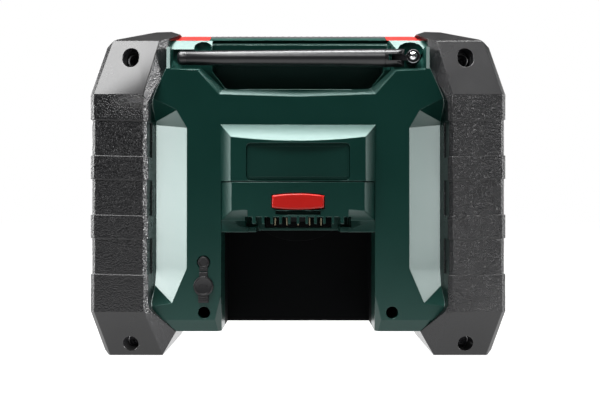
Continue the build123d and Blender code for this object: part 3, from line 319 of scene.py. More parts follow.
# This mask marks where the colour is lightened along edges: wear, and a painted highlight.
rub_highlight, rub_highlight_in, rub_highlight_out = start_group("edge_rub_and_highlight", {"Strength": 1.0, "Patch Scale": 90.0}, ["Mask"])
rounded = rub_highlight.nodes.new("ShaderNodeBevel")
rounded.samples = 4
rounded.inputs["Radius"].default_value = RUB_HIGHLIGHT_REACH * MM
plain = rub_highlight.nodes.new("ShaderNodeNewGeometry")
same_way = rub_highlight.nodes.new("ShaderNodeVectorMath")
same_way.operation = "DOT_PRODUCT"
rub_highlight.links.new(rounded.outputs["Normal"], same_way.inputs[0])
rub_highlight.links.new(plain.outputs["Normal"], same_way.inputs[1])
turned = maths(rub_highlight, "SUBTRACT", 1.0, same_way.outputs["Value"], clamp=True)
patchy = maths(rub_highlight, "MULTIPLY", turned, noise(rub_highlight, rub_highlight_in.outputs["Patch Scale"], 3.0))
worn_and_highlit = maths(rub_highlight, "MULTIPLY", patchy, rub_highlight_in.outputs["Strength"], clamp=True)
rub_highlight.links.new(worn_and_highlit, rub_highlight_out.inputs["Mask"])
print("edges rubbed within", RUB_HIGHLIGHT_REACH, "mm")

# %% [markdown]
# ### Dust
# A radio on a building site gets a pale film where it looks up.  Loose grains would be lost at this
# distance, so a mask of upward faces, broken by noise, is enough.

# %% Dust: a pale film on faces that look up
DUST_SCALE = 70.0
dust, dust_in, dust_out = start_group("dust_film", {"Amount": 0.3}, ["Mask"])
facing_up = maths(dust, "MAXIMUM", surface_direction(dust, "Normal")["Z"], 0.0)
settled = maths(dust, "MULTIPLY", facing_up, noise(dust, DUST_SCALE, 4.0))
film = maths(dust, "MULTIPLY", settled, dust_in.outputs["Amount"], clamp=True)
dust.links.new(film, dust_out.inputs["Mask"])
print(len(bpy.data.node_groups), "shared effects")

# %% [markdown]
# ## Finishes
# A finish is a Principled shader with a base colour that drifts a little, a texture that bumps it, and
# the shared effects mixed in.  One function builds them all, because the steps are the same for a case
# and a screw and only the values differ.  Plain numbers stay on the shader's own sockets.


# %% Helpers for a finish
def group_node(tree, group, **values):
    """Places a group in a material with its own values."""
    node = tree.nodes.new("ShaderNodeGroup")
    node.node_tree = group
    for label, value in values.items():
        node.inputs[label.title()].default_value = value
    return node


def blend_colour(tree, factor, first, second):
    """Mixes two colours (sockets or tuples) by a socket."""
    node = tree.nodes.new("ShaderNodeMix")
    node.data_type = "RGBA"
    tree.links.new(factor, node.inputs[0])
    for socket, value in ((node.inputs[6], first), (node.inputs[7], second)):
        if isinstance(value, tuple):
            socket.default_value = (*value, 1)
        else:
            tree.links.new(value, socket)
    return node.outputs[2]


def shade(colour, gain, lift=0.0):
    """A colour made darker or lighter."""
    return tuple(min(1.0, part * gain + lift) for part in colour)


# %% One function for every finish
# CREASE_SHADE sets how dark the painted shade in the leather's creases is.
CREASE_SHADE = 0.45
# The rubbed edges' lighter colour: wear, and a painted highlight along the edges.
RUB_HIGHLIGHT_GAIN, RUB_HIGHLIGHT_LIFT = 2.5, 0.02
DUST_COLOUR = (0.42, 0.41, 0.38)


def finish(name, colour, roughness, texture="mould", scale=MOULD_SCALE, depth=0.02, drift=0.12,
           rubbed=0.25, rub_colour=None, dusty=0.0, rough_drift=0.08, **extra):
    """A material; scale is in turns per metre, depth in millimetres, and extra names shader sockets."""
    material = bpy.data.materials.new(name)
    material.use_nodes = True
    tree = material.node_tree
    shader = tree.nodes["Principled BSDF"]
    for label, value in extra.items():
        shader.inputs[label.replace("_", " ").title().replace("Ior", "IOR")].default_value = value
    grainy = texture == "leather"
    skin = group_node(tree, leather if grainy else mould, scale=scale)
    clouds = group_node(tree, mould, scale=scale) if grainy else skin
    tint = blend_colour(tree, clouds.outputs["Cloud"], shade(colour, 1 - drift), shade(colour, 1 + drift))
    # Painted shade: the colour in the leather's creases is darkened by CREASE_SHADE.
    if grainy:
        tint = blend_colour(tree, skin.outputs["Crease Shade"], tint, shade(colour, CREASE_SHADE))
    # Rubbed edges: lighter along the edges, partly wear and partly a painted highlight.
    if rubbed:
        mask = group_node(tree, rub_highlight, strength=rubbed)
        lighter = rub_colour or shade(colour, RUB_HIGHLIGHT_GAIN, RUB_HIGHLIGHT_LIFT)
        tint = blend_colour(tree, mask.outputs["Mask"], tint, lighter)
    if dusty:
        film = group_node(tree, dust, amount=dusty)
        tint = blend_colour(tree, film.outputs["Mask"], tint, DUST_COLOUR)
    tree.links.new(tint, shader.inputs["Base Color"])
    wander = maths(tree, "MULTIPLY_ADD", clouds.outputs["Cloud"], rough_drift)
    wander.node.inputs[2].default_value = roughness - rough_drift / 2
    tree.links.new(wander, shader.inputs["Roughness"])
    bump = tree.nodes.new("ShaderNodeBump")
    bump.inputs["Strength"].default_value = 1.0
    bump.inputs["Distance"].default_value = depth * MM
    tree.links.new(skin.outputs["Height"], bump.inputs["Height"])
    tree.links.new(bump.outputs["Normal"], shader.inputs["Normal"])
    return material


finishes = {}


def add_finishes(**looks):
    """Makes one finish for each named set of values."""
    for name, look in looks.items():
        finishes[name] = finish(name, **look)
    print("finishes:", ", ".join(looks))


# %% [markdown]
# ### Case, plate and rubber
# The case is a very dark green plastic whose gloss is a little minty, and the bumpers are black rubber
# with a leather grain.  The green of the gloss could come from a coloured lamp, but that would tint the
# rubber too, so the case and its plate carry the tint themselves.

# %% Case, plate and rubber
MINT = (0.73, 1.0, 0.95, 1)
RUBBER = (0.009, 0.009, 0.0105)
# The lighter rub colours below are edge wear and a painted highlight.
add_finishes(
    case_green=dict(colour=(0.006, 0.050, 0.039), roughness=0.31, scale=1500, depth=0.016, dusty=0.05,
                    rub_colour=(0.09, 0.17, 0.15), rubbed=0.5, specular_tint=MINT),
    plate_grey=dict(colour=(0.006, 0.046, 0.036), roughness=0.34, depth=0.004, rubbed=0.1,
                    specular_tint=MINT),
    bumper_black=dict(colour=RUBBER, roughness=0.28, texture="leather", scale=1250, depth=0.38, rubbed=0.5,
                      rub_colour=(0.05, 0.05, 0.052), dusty=0.06),
    cap_rubber=dict(colour=RUBBER, roughness=0.5, depth=0.016, rubbed=0.35, rub_colour=(0.06, 0.06, 0.06)),
    grip_black=dict(colour=(0.02, 0.02, 0.022), roughness=0.5, depth=0.03, dusty=0.08),
)

# %% [markdown]
# ### Metals
# The screws and the whip's ferrule are blackened steel, the antenna's pivot is chromed and the contacts
# are brass.  All are full metals, because plated steel that is only half metallic looks like grey paint.

# %% Metals
add_finishes(
    screw_steel=dict(colour=(0.05, 0.05, 0.054), roughness=0.5, depth=0.01, metallic=1.0),
    whip_metal=dict(colour=(0.05, 0.05, 0.054), roughness=0.28, depth=0.006, metallic=1.0),
    pivot_chrome=dict(colour=(0.62, 0.63, 0.65), roughness=0.14, depth=0.003, drift=0.04, metallic=1.0),
    contact_brass=dict(colour=(0.42, 0.36, 0.24), roughness=0.34, depth=0.004, metallic=1.0),
)

# %% [markdown]
# ### Black and coloured fittings
# The whip, knuckle, grille, panel and dial are black plastics that differ only in gloss and in a trace of
# grey, which is enough to tell them apart.  The battery bay's lining hardly mirrors at all, and its colour
# is darker than the other blacks: partly black plastic and partly painted shade for the depth of the bay.
# Two reds serve the grip's ends and the brighter release button.

# %% Black and coloured fittings
add_finishes(
    whip_black=dict(colour=(0.016, 0.016, 0.018), roughness=0.30, depth=0.006, drift=0.05),
    knuckle_black=dict(colour=(0.012, 0.012, 0.014), roughness=0.36, depth=0.01),
    # The lining's near-black colour is partly painted shade deep in the battery bay.
    inner_black=dict(colour=(0.003, 0.0035, 0.004), roughness=0.6, depth=0.014, rubbed=0.1,
                     specular_ior_level=0.06),
    grille_black=dict(colour=(0.014, 0.014, 0.0155), roughness=0.42, depth=0.02, dusty=0.1),
    panel_black=dict(colour=(0.011, 0.011, 0.0125), roughness=0.3, depth=0.01),
    dial_black=dict(colour=(0.014, 0.014, 0.016), roughness=0.36, depth=0.014),
    key_grey=dict(colour=(0.06, 0.065, 0.07), roughness=0.42, depth=0.014),
    display_grey=dict(colour=(0.13, 0.17, 0.14), roughness=0.3, depth=0.002, drift=0.04, rubbed=0),
    # The lighter reds of the rubbed edges are wear and a painted highlight.
    accent_red=dict(colour=(0.5, 0.02, 0.014), roughness=0.42, depth=0.014, rub_colour=(0.6, 0.12, 0.1)),
    button_red=dict(colour=(0.9, 0.02, 0.014), roughness=0.30, depth=0.008, rub_colour=(0.7, 0.16, 0.13)),
)

# %% [markdown]
# ### Speaker and boards
# Most of these sit inside, out of sight, but they show when the radio is taken apart.  They get plain
# finishes: pressed steel, pulp paper with a coarser texture, dull ferrite and a green board.

# %% Speaker and boards
add_finishes(
    basket_steel=dict(colour=(0.02, 0.02, 0.02), roughness=0.45, depth=0.01),
    cone_paper=dict(colour=(0.022, 0.022, 0.024), roughness=0.7, scale=700, depth=0.06),
    magnet_ferrite=dict(colour=(0.05, 0.05, 0.055), roughness=0.6, depth=0.03),
    board_green=dict(colour=(0.012, 0.09, 0.03), roughness=0.35, depth=0.01),
)

# %% [markdown]
# ### Clear window
# The display sits behind a clear plastic window.  It could be left out, but its reflection is what tells
# that something covers the display.  It is a plain glass shader with a faint film of scratches in its
# gloss.

# %% Clear window
PLASTIC_IOR = 1.49
SCRATCH_SCALE, SCRATCH_ROUGHNESS = 500.0, 0.12
glass = bpy.data.materials.new("lens_clear")
glass.use_nodes = True
glass_shader = glass.node_tree.nodes["Principled BSDF"]
glass_shader.inputs["Base Color"].default_value = (0.92, 0.95, 0.94, 1)
glass_shader.inputs["Transmission Weight"].default_value = 1.0
glass_shader.inputs["IOR"].default_value = PLASTIC_IOR
scratches = maths(glass.node_tree, "MULTIPLY", noise(glass.node_tree, SCRATCH_SCALE, 4.0), SCRATCH_ROUGHNESS)
glass.node_tree.links.new(scratches, glass_shader.inputs["Roughness"])
finishes["lens_clear"] = glass

# %% Every solid gets the finish of its slot
for name, node in nodes.items():
    node.data.materials.clear()
    node.data.materials.append(finishes[slot_of[name]])
print(len(finishes), "finishes on", len(nodes), "solids")

# %% [markdown]
# ## Rounded edges
# A moulded edge always has a small radius, and that radius is what draws a bright line along it.  The
# solids have sharp edges, which shade like cut paper.  Rounding only the normals would hide this from
# one side, so each outer moulding gets a skin: a copy of its mesh, merged and cleaned of flat seams,
# with a Bevel modifier.  The modifier's own clamp would shrink every edge to suit the tightest corner,
# so it is off, and an edge takes part only where the edges beside it leave room for the whole width.
# A Weighted Normal modifier then lets the large faces keep their own direction.

# %% Which edges have room to be rounded
ROOM_SHARE = 0.46  # the rounding may take this much of the room beside an edge
IN_LINE = 0.5  # two edges carry on from each other below this sine of the angle between them


def mark_roomy_edges(work, width, sharp):
    """Gives a bevel weight of one to each sharp edge whose neighbours stay clear of the rounding."""
    weights = work.edges.layers.float.new("bevel_weight_edge")
    keen = {edge for edge in work.edges
            if len(edge.link_faces) == 2 and edge.calc_face_angle() >= math.radians(sharp)}
    for edge in keen:
        room = []
        for corner in edge.verts:
            along = edge.other_vert(corner).co - corner.co
            for beside in corner.link_edges:
                reach = beside.other_vert(corner).co - corner.co
                across = reach.cross(along).length / along.length
                same_face = set(beside.link_faces) & set(edge.link_faces)
                carries_on = beside in keen and reach.dot(along) < 0 and across < IN_LINE * reach.length
                if beside is not edge and same_face and not carries_on:
                    room.append(across)
        edge[weights] = float(not room or min(room) * ROOM_SHARE >= width)


# %% A skin with rounded edges
WELD = 0.02  # millimetres; corners closer than this become one
FLAT_SEAM = 0.4  # degrees; a seam between faces flatter than this is dissolved


def round_edges(made, width, method):
    """Gives an object a two-step Bevel modifier; the width is in millimetres."""
    rounding = made.modifiers.new("rounded_edges", "BEVEL")
    rounding.width = width * MM
    rounding.segments = 2
    rounding.limit_method = method
    return rounding


def smooth_below(mesh, sharp):
    """Shades a mesh smooth, apart from edges that turn by more than an angle in degrees."""
    mesh.polygons.foreach_set("use_smooth", [True] * len(mesh.polygons))
    mesh.set_sharp_from_angle(angle=math.radians(sharp))


def skin_over(name, radius, sharp):
    """Replaces a solid by a copy whose edges are rounded; radius is in millimetres."""
    mesh = nodes[name].data.copy()
    work = bmesh.new()
    work.from_mesh(mesh)
    bmesh.ops.remove_doubles(work, verts=work.verts, dist=WELD * MM)
    bmesh.ops.dissolve_limit(work, angle_limit=math.radians(FLAT_SEAM), verts=work.verts, edges=work.edges,
                             delimit={"NORMAL"})
    mark_roomy_edges(work, radius * MM, sharp)
    work.to_mesh(mesh)
    work.free()
    skin = bpy.data.objects.new(name + "_skin", mesh)
    scene.collection.objects.link(skin)
    smooth_below(mesh, sharp)
    round_edges(skin, radius, "WEIGHT").use_clamp_overlap = False
    skin.modifiers.new("flat_faces", "WEIGHTED_NORMAL").keep_sharp = True
    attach(skin, body_of[name])
    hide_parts(name)
    return skin


# %% Skins for the outer mouldings
EDGE_RADIUS = {  # millimetres
    "bumper_left": 0.3, "bumper_right": 0.3, "rear_housing": 0.3, "front_housing": 0.4, "battery_shoe": 0.35,
    "grip_end_left": 0.4, "grip_end_right": 0.4, "grip_strip": 0.3, "rating_plate": 0.2,
    "antenna_base": 0.3, "antenna_ferrule": 0.35, "antenna_screw": 0.15, "antenna_pin": 0.2,
    "release_button": 0.3, "terminal_block": 0.15, "speaker_grille": 0.3, "control_panel": 0.2,
    "power_key": 0.2, "mode_key": 0.2, **{f"preset_key_{number}": 0.2 for number in range(1, 5)},
    "encoder_nut": 0.3, "bay_liner": 0.4,
}
SHARP_BEND = 32.0  # degrees; an edge that turns less stays smooth
FINER_BENDS = {"bumper_left": 24.0, "bumper_right": 24.0, "rear_housing": 22.0}
skins = {name: skin_over(name, radius, FINER_BENDS.get(name, SHARP_BEND))
         for name, radius in EDGE_RADIUS.items()}
print("skins on", ", ".join(sorted(skins)))

# %% [markdown]
# ## Which lamp lights what
# Light linking does what a photographer does with flags.  The bumpers stand between the side boxes and
# the troughs beside them, so they cast no shadow in that light.  Four of the smaller boxes light one
# moulding each: the face of one bumper, the inner bevel of the other, and the upper ends of the two
# troughs.  Narrow lamps could be aimed at them instead, but their light would spill on the neighbours.


# %% Lamps that shine on one moulding only
def shine_only_on(lamp, piece_lit):
    receivers = bpy.data.collections.new(lamp.name + "_receivers")
    receivers.objects.link(piece_lit)
    lamp.light_linking.receiver_collection = receivers
    print(lamp.name, "lights only", piece_lit.name)


LIT_ALONE = {"right_fill": "bumper_left", "inner_bevel_box": "bumper_right",
             "low_box_left": "rear_housing", "low_box_right": "rear_housing"}
for box, name in LIT_ALONE.items():
    shine_only_on(lamps[box], skins[name])

# %% Bumpers cast no shadow in the side light
see_past = bpy.data.collections.new("side_light_passes")
for name in ("bumper_left", "bumper_right"):
    see_past.objects.link(skins[name])
for entry in see_past.collection_objects:
    entry.light_linking.link_state = "EXCLUDE"
for box in ("side_box_left", "side_box_right", "inner_bevel_box", "low_box_left", "low_box_right"):
    lamps[box].light_linking.blocker_collection = see_past

# %% [markdown]
# ## Small pieces
# The solids give each small piece its place and size, but a knurled rim, a cross recess or a rib needs a
# finer mesh.  These pieces are built in millimetres from named values, and most stand in for their solid.
# Modelling them as textures would be lighter, but a rib has to break the outline when the camera comes
# close.  The helpers come first, then one cell for each piece.


# %% Helpers that place and spin
POLE_WELD = 0.002  # millimetres; closer corners become one where a spin meets its own axis


def stand(centre, axis):
    """The place of a piece: its centre in millimetres, and its height turned to an axis."""
    turn = Vector(axis).normalized().to_track_quat("Z", "Y").to_matrix().to_4x4()
    return Matrix.Translation(Vector(centre) * MM) @ turn


def with_edges(corners):
    """Corners and the edges between them, as the spin operator takes them."""
    return list(corners) + list(dict.fromkeys(edge for corner in corners for edge in corner.link_edges))


def wire_section(work, place, radius, thick, sides):
    """A small circle that stands upright beside the place's own height, ready to be spun round it."""
    section = place @ Matrix.Translation((radius * MM, 0, 0)) @ Matrix.Rotation(math.pi / 2, 4, "X")
    return bmesh.ops.create_circle(work, segments=sides, radius=thick * MM, matrix=section)["verts"]


def spin_full(work, outline, place, steps):
    """Spins corners and the edges between them one full turn round the place's own height."""
    bmesh.ops.spin(work, geom=with_edges(outline), cent=place.translation,
                   axis=place.to_3x3() @ Vector((0, 0, 1)), angle=2 * math.pi, steps=steps, use_merge=True)


def lathe(work, profile, centre, axis, steps=48):
    """Spins an outline of (radius, height) pairs round an axis, and gives the new corners."""
    before = set(work.verts)
    place = stand(centre, axis)
    outline = [work.verts.new(place @ (Vector((radius, 0, height)) * MM)) for radius, height in profile]
    for pair in zip(outline, outline[1:]):
        work.edges.new(pair)
    spin_full(work, outline, place, steps)
    bmesh.ops.remove_doubles(work, verts=[vert for vert in work.verts if vert not in before],
                           dist=POLE_WELD * MM)
    return [vert for vert in work.verts if vert not in before]


def ring_bead(work, centre, axis, radius, thick, steps=48):
    """A round bead bent into a ring."""
    place = stand(centre, axis)
    spin_full(work, wire_section(work, place, radius, thick, 10), place, steps)


# %% Helpers for straight pieces
def bar(work, low, high, turn=None, about=(0, 0, 0)):
    """A box between two corners, turned by a matrix about a point if one is given."""
    middle = [(a + b) / 2 for a, b in zip(low, high)]
    size = [abs(b - a) * MM for a, b in zip(low, high)]
    place = Matrix.Translation(Vector(middle) * MM) @ Matrix.Diagonal((*size, 1))
    if turn:
        pivot = Matrix.Translation(Vector(about) * MM)
        place = pivot @ turn @ pivot.inverted() @ place
    bmesh.ops.create_cube(work, size=1, matrix=place)


def beam(work, middle, half, low, high):
    """A bar of a half width to each side of a middle; low and high are its ends along Y and Z."""
    bar(work, (middle - half, *low), (middle + half, *high))


def border(work, half, low, high, strip):
    """Four strips just inside a rectangle centred on X; low and high are its corners along Y and Z."""
    for z in (low[1], high[1] - strip):
        beam(work, 0, half, (low[0], z), (high[0], z + strip))
    for x in (-half, half - strip):
        bar(work, (x, *low), (x + strip, *high))


# %% Helper that makes a mesh into a piece
def piece(name, work, body, slot, stands_for=None, rounding=0.0, sharp=35.0):
    """Turns a bmesh into an object that rides on a body, with a finish and rounded edges."""
    mesh = bpy.data.meshes.new(name)
    bmesh.ops.recalc_face_normals(work, faces=work.faces)
    work.to_mesh(mesh)
    work.free()
    smooth_below(mesh, sharp)
    mesh.materials.append(finishes[slot])
    made = bpy.data.objects.new(name, mesh)
    scene.collection.objects.link(made)
    if rounding:
        bevel = round_edges(made, rounding, "ANGLE")
        bevel.angle_limit = math.radians(sharp)
        bevel.harden_normals = True
    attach(made, body)
    if stands_for:
        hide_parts(stands_for)
    print(name, "has", len(mesh.polygons), "faces on", body)
    return made


# %% [markdown]
# ### Screws with a cross recess
# Four screws hold the bumpers and two the case, each deep in a recess, so that only the head and its
# cross show.  The cross could be cut with a Boolean, but that leaves ragged faces.  Here the head is spun
# from half its outline with an open top, the cross is one face of twelve corners that is inset and pushed
# down, and the gap between the two is filled.

# %% A screw with a cross recess
CROSS_ARM, CROSS_HALF = 0.52, 0.14  # an arm's length and half width, by the head's radius
CROSS_DEPTH = 0.7  # by the head's height
CROSS_TAPER = 0.3  # how far the walls lean in, by the arm's half width


def cross_screw(work, centre, axis, head, rise, shank, length):
    """A pan-head screw; centre is where the head meets what it holds."""
    lathe(work, [(0, -length), (shank * 0.6, -length), (shank, 1 - length), (shank, 0), (head, 0),
                 (head, rise * 0.45), (head * 0.9, rise * 0.84), (head * 0.7, rise)], centre, axis, 40)
    place, arm, half = stand(centre, axis), head * CROSS_ARM, head * CROSS_HALF
    mouth = []
    for quarter in range(4):
        spin = Matrix.Rotation(quarter * math.pi / 2, 4, "Z")
        mouth += [work.verts.new(place @ spin @ (Vector((a, b, rise)) * MM))
                  for a, b in ((arm, -half), (arm, half), (half, half))]
    cross = work.faces.new(mouth)
    cross.normal_update()
    bmesh.ops.inset_region(work, faces=[cross], thickness=half * CROSS_TAPER * MM,
                           depth=-rise * CROSS_DEPTH * MM, use_boundary=True, use_even_offset=True)
    bmesh.ops.triangle_fill(work, use_beauty=True, edges=[edge for edge in work.edges if edge.is_boundary])


# %% The six screws: where they sit, then the head's radius and height and the shank's radius and length
SCREW_SEATS = {"bumper_screws": [(x, 41, z) for x in (104.8, -104.8) for z in (187.0, 8.0)],
               "housing_screws": [(x, 10.1, 27.3) for x in (58.9, -58.9)]}
SCREW_SIZES = {"bumper_screws": (4.2, 3.0, 1.9, 30.0), "housing_screws": (3.5, 2.9, 1.9, 34.1)}
for name, seats in SCREW_SEATS.items():
    work = bmesh.new()
    for seat in seats:
        cross_screw(work, seat, (0, 1, 0), *SCREW_SIZES[name])
    piece(name + "_cross", work, "root", slot_of[name], stands_for=name)

# %% [markdown]
# ### Lid of the supply socket
# A rubber lid keeps rain out of the socket.  It has a dished cap with a plug behind it, a ribbed tab for
# a fingernail, and a strap that bends at a thin pin.  One subdivided block could be pulled into shape,
# but the cap is round and the rest is straight, so a spun outline and a few bars are quicker and exact.

# %% Lid of the supply socket
SOCKET_X, SOCKET_Z, PANEL_Y = 59.2, 43.9, 62.0
OUT = (0, 1, 0)  # away from the rear panel
CAP_OUTLINE = [(0, -2.0), (2.3, -2.0), (2.6, -1.6), (2.6, 0.1), (5.9, 0.1), (6.3, 0.5), (6.3, 1.5),
               (5.8, 2.15), (5.2, 2.25), (4.8, 1.95), (4.3, 1.75), (0, 1.75)]
PIN_OUTLINE = [(0, -2.6), (0.6, -2.6), (0.6, 2.6), (0, 2.6)]
HINGE_Z = SOCKET_Z + 8.3
work = bmesh.new()
lathe(work, CAP_OUTLINE, (SOCKET_X, PANEL_Y, SOCKET_Z), OUT, 64)
beam(work, SOCKET_X, 3.2, (PANEL_Y + 0.1, SOCKET_Z - 10.4), (PANEL_Y + 1.7, SOCKET_Z - 5.4))
for rib in range(3):
    rib_z = SOCKET_Z - 9.9 + 1.35 * rib
    beam(work, SOCKET_X, 2.7, (PANEL_Y + 1.5, rib_z), (PANEL_Y + 2.2, rib_z + 0.7))
for rib in range(4):
    rib_x = SOCKET_X - 2.1 + 1.4 * rib
    beam(work, rib_x, 0.3, (PANEL_Y + 1.6, SOCKET_Z - 1.2), (PANEL_Y + 2.05, SOCKET_Z + 1.2))
beam(work, SOCKET_X, 2.6, (PANEL_Y + 0.3, SOCKET_Z + 5.2), (PANEL_Y + 1.5, HINGE_Z))
lathe(work, PIN_OUTLINE, (SOCKET_X, PANEL_Y + 0.9, HINGE_Z), (1, 0, 0), 16)
piece("dc_cap_ribbed", work, body_of["dc_cap"], "cap_rubber", stands_for="dc_cap", rounding=0.22)

# %% [markdown]
# ### Anchor of the lid's strap
# The strap's other end is a round button pressed into the panel, with a flat tail towards the hinge.  It
# stays with the case when the lid turns, so it is a piece of its own.

# %% Anchor of the lid's strap
ANCHOR_Z = 58.8
BUTTON_OUTLINE = [(0, -1.5), (3.6, -1.5), (3.6, 0.5), (3.2, 1.0), (2.7, 1.0), (2.3, 0.6), (0, 0.6)]
work = bmesh.new()
lathe(work, BUTTON_OUTLINE, (SOCKET_X, PANEL_Y, ANCHOR_Z), OUT, 48)
beam(work, SOCKET_X, 2.6, (PANEL_Y + 0.02, SOCKET_Z + 9.3), (PANEL_Y + 0.9, ANCHOR_Z - 2.4))
beam(work, SOCKET_X, 2.1, (PANEL_Y + 0.5, SOCKET_Z + 10.0), (PANEL_Y + 1.3, SOCKET_Z + 11.0))
piece("dc_cap_anchor_button", work, "root", "cap_rubber", stands_for="dc_cap_anchor", rounding=0.2)

# %% [markdown]
# ### Antenna whip
# The whip is one rubber moulding that tapers to a small end cap, with a groove where the cap starts.  A
# cone and a ball would meet in a visible seam, so the whole length is one outline, spun once.  Its
# highlight comes from a box that lights nothing else.

# %% Antenna whip
WHIP_Y, WHIP_Z, WHIP_FOOT, WHIP_TIP = 55.8, 187.4, -54.5, 76.3
END_RADIUS, END_ROUND = 4.42, 2.6
taper = [(0, WHIP_FOOT), (5.8, WHIP_FOOT), (5.78, WHIP_FOOT + 1), (5.4, WHIP_FOOT + 40),
         (4.9, WHIP_FOOT + 86)]
groove = [(4.45, WHIP_TIP - 6.2), (4.3, WHIP_TIP - 6.0), (4.3, WHIP_TIP - 5.6), (4.44, WHIP_TIP - 5.4)]
end_cap = [(END_RADIUS - END_ROUND * (1 - math.cos(turn)), WHIP_TIP - END_ROUND * (1 - math.sin(turn)))
           for turn in (math.radians(degrees) for degrees in range(0, 96, 12))]
work = bmesh.new()
lathe(work, taper + groove + end_cap + [(0, WHIP_TIP)], (0, WHIP_Y, WHIP_Z), (1, 0, 0), 64)
whip = piece("antenna_whip_smooth", work, body_of["antenna_whip"], "whip_black", stands_for="antenna_whip",
             sharp=50)
shine_only_on(lamps["whip_box"], whip)

# %% [markdown]
# ### Rim of the knuckle
# A thin chromed ring frames the face of the antenna's knuckle.  A bevel on the knuckle would be black
# like the rest of it, so the ring is a bead of its own.

# %% Rim of the knuckle
KNUCKLE_FACE = (-72.3, 60.3, 188.2)
work = bmesh.new()
ring_bead(work, KNUCKLE_FACE, OUT, 4.1, 0.3)
piece("knuckle_rim", work, body_of["antenna_base"], "pivot_chrome")

# %% [markdown]
# ### Latch spring
# The spring that holds the latch bolt down is a coil of round wire in the bolt's bore.  A Screw modifier
# could wind it too, but the spin operator does the same with a rise in each step.  Its upper end rests on
# the case; its length at rest is read off the solid's box, and it gets a mesh of its own.

# %% Latch spring
SPRING_Y, SPRING_FOOT, SPRING_HEIGHT, SPRING_PITCH, SPRING_TOP = 48, 93.7, 14.6, 2.7, 109.0
COIL_RADIUS, WIRE_RADIUS, STEPS_PER_TURN = 2.4, 0.4, 24
turns = SPRING_HEIGHT / SPRING_PITCH
steps = round(turns * STEPS_PER_TURN)
work = bmesh.new()
place = stand((0, SPRING_Y, SPRING_FOOT), (0, 0, 1))
wire = wire_section(work, place, COIL_RADIUS, WIRE_RADIUS, 8)
bmesh.ops.spin(work, geom=with_edges(wire), cent=place.translation, axis=(0, 0, 1),
               dvec=(0, 0, SPRING_HEIGHT / steps * MM), angle=2 * math.pi * turns, steps=steps)
bmesh.ops.holes_fill(work, edges=[edge for edge in work.edges if edge.is_boundary])
spring = piece("latch_spring_coil", work, "root", slot_of["latch_spring"], stands_for="latch_spring",
               sharp=60)

# %% Latch spring's length at rest, and a mesh of its own
spring_low, spring_high = (corner[2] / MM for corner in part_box("latch_spring"))
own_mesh(spring)
print("spring", round(spring_high - spring_low, 2), "mm long at rest")

# %% [markdown]
# ### Ribs of the grip
# The soft strip on the carrying edge has fine ribs across it, so that a glove doesn't slip.  A bump would
# vanish in the outline at the top of the picture, so each rib is a low bar, and a loop lays them.

# %% Ribs of the grip
RIB_COUNT, RIB_PITCH, RIB_START = 28, 4, -54
RIB_HALF, RIB_REACH = 0.8, 23
work = bmesh.new()
for rib in range(RIB_COUNT):
    beam(work, RIB_START + RIB_PITCH * rib, RIB_HALF, (-RIB_REACH, 205.2), (RIB_REACH, 205.75))
piece("grip_ribs", work, "root", "grip_black", rounding=0.15)

# %% [markdown]
# ### Rating plate
# The plate in the hood's recess stays bare, with a raised border round it.  Insetting and lifting the
# plate's own face would do it too, but four thin strips leave the plate's mesh alone.

# %% Rating plate's border
work = bmesh.new()
border(work, 30.4, (70.9, 111.7), (71.2, 131.5), 0.5)
piece("rating_plate_border", work, "root", "plate_grey", rounding=0.1)

# %% [markdown]
# ### Volume dial
# The dial has a ribbed rim for the fingers and a dished face.  Ribs could be separate bars, but a moulded
# rim is one surface, so the outline is spun in many steps and every second pair of steps is moved inwards.

# %% Volume dial
FORWARD = (0, -1, 0)  # away from the front panel
DIAL = (0, -62.6, 36.0)
DIAL_RADIUS, DIAL_STEPS, RIB_DEPTH = 14.0, 144, 0.55
RIBS_FROM, RIBS_TO = 1.4, 9.8  # heights above the panel
DIAL_OUTLINE = [(0, 3.9), (8.0, 3.9), (8.0, 0), (13.5, 0), (DIAL_RADIUS, 0.5), (DIAL_RADIUS, 1.2),
                (DIAL_RADIUS, 1.6), (DIAL_RADIUS, 9.6), (13.2, 10.8), (12.6, 11.4), (11.6, 11.4),
                (10.8, 10.8), (0, 10.5)]
work = bmesh.new()
for vert in lathe(work, DIAL_OUTLINE, DIAL, FORWARD, DIAL_STEPS):
    out = vert.co - Vector(DIAL) * MM
    height = -out.y
    out.y = 0
    step = round(math.degrees(math.atan2(out.z, out.x)) * DIAL_STEPS / 360)
    on_rim = RIBS_FROM * MM < height < RIBS_TO * MM and out.length > (DIAL_RADIUS - 0.1) * MM
    if on_rim and step % 4 < 2:
        vert.co -= out.normalized() * RIB_DEPTH * MM
piece("volume_dial_ribbed", work, "dial", "dial_black", stands_for="volume_dial", sharp=28)

# %% Pointer on the dial's face
work = bmesh.new()
beam(work, 0, 0.55, (-74.0, 42.2), (-72.9, 46.6))
piece("dial_pointer", work, "dial", "display_grey", rounding=0.2)

# %% [markdown]
# ### Tick marks round the dial
# Eleven raised ticks show the volume, longer at both ends and in the middle.  They are one bar turned
# about the dial's axis again and again, and the gap in the circle points down.

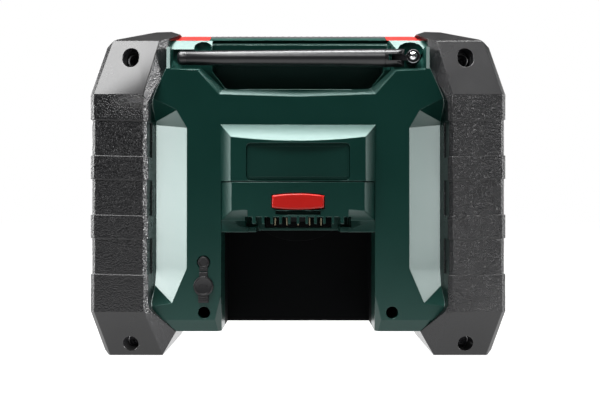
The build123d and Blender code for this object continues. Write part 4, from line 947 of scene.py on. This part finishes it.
# %% Tick marks round the dial
TICKS, FIRST_TICK, TICK_PITCH = 11, -120, 24  # a number, and degrees
work = bmesh.new()
for tick in range(TICKS):
    turn = Matrix.Rotation(math.radians(FIRST_TICK + TICK_PITCH * tick), 4, "Y")
    reach = 19.4 if tick in (0, TICKS // 2, TICKS - 1) else 18.2
    bar(work, (-0.35, -62.25, DIAL[2] + 16.4), (0.35, -61.9, DIAL[2] + reach), turn, DIAL)
piece("dial_marks", work, "root", "display_grey")

# %% [markdown]
# ### Marks on the keys
# A thumb finds the four preset keys by one to four raised dots, and the power and mode keys by a ring
# and a bar.  Lettering would be the usual way, but dots need no language and can be felt in the dark.

# %% Dots on the preset keys
KEY_Z, KEY_FACE = 179.0, -63.8
PRESET_X = {"preset_key_1": 40.0, "preset_key_2": -40.0, "preset_key_3": -53.0, "preset_key_4": -66.0}
DOT_OUTLINE, DOT_PITCH = [(0, -0.1), (0.55, -0.1), (0.5, 0.15), (0.3, 0.28), (0, 0.32)], 1.7
for count, (name, x) in enumerate(PRESET_X.items(), start=1):
    work = bmesh.new()
    for dot in range(count):
        dot_x = x + DOT_PITCH * (dot - (count - 1) / 2)
        lathe(work, DOT_OUTLINE, (dot_x, KEY_FACE, KEY_Z), FORWARD, 16)
    piece(name + "_dots", work, body_of[name], "display_grey")

# %% Marks on the power and mode keys
POWER_X, MODE_X = 66.0, 53.0
work = bmesh.new()
ring_bead(work, (POWER_X, KEY_FACE, KEY_Z - 0.3), FORWARD, 1.7, 0.26, 32)
beam(work, POWER_X, 0.25, (KEY_FACE - 0.3, KEY_Z), (KEY_FACE + 0.1, KEY_Z + 2.4))
piece("power_key_mark", work, body_of["power_key"], "display_grey")
work = bmesh.new()
beam(work, MODE_X, 2.2, (KEY_FACE - 0.25, KEY_Z - 0.3), (KEY_FACE + 0.1, KEY_Z + 0.3))
piece("mode_key_mark", work, body_of["mode_key"], "display_grey", rounding=0.1)

# %% [markdown]
# ### Rim of the display
# A thin dark rim hides the edge of the display's window.  It is the same four-strip border as the rating
# plate's, in another size.

# %% Rim of the display
work = bmesh.new()
border(work, 28.9, (-60.45, 171.4), (-60.2, 186.6), 0.6)
piece("display_rim", work, "root", "panel_black")
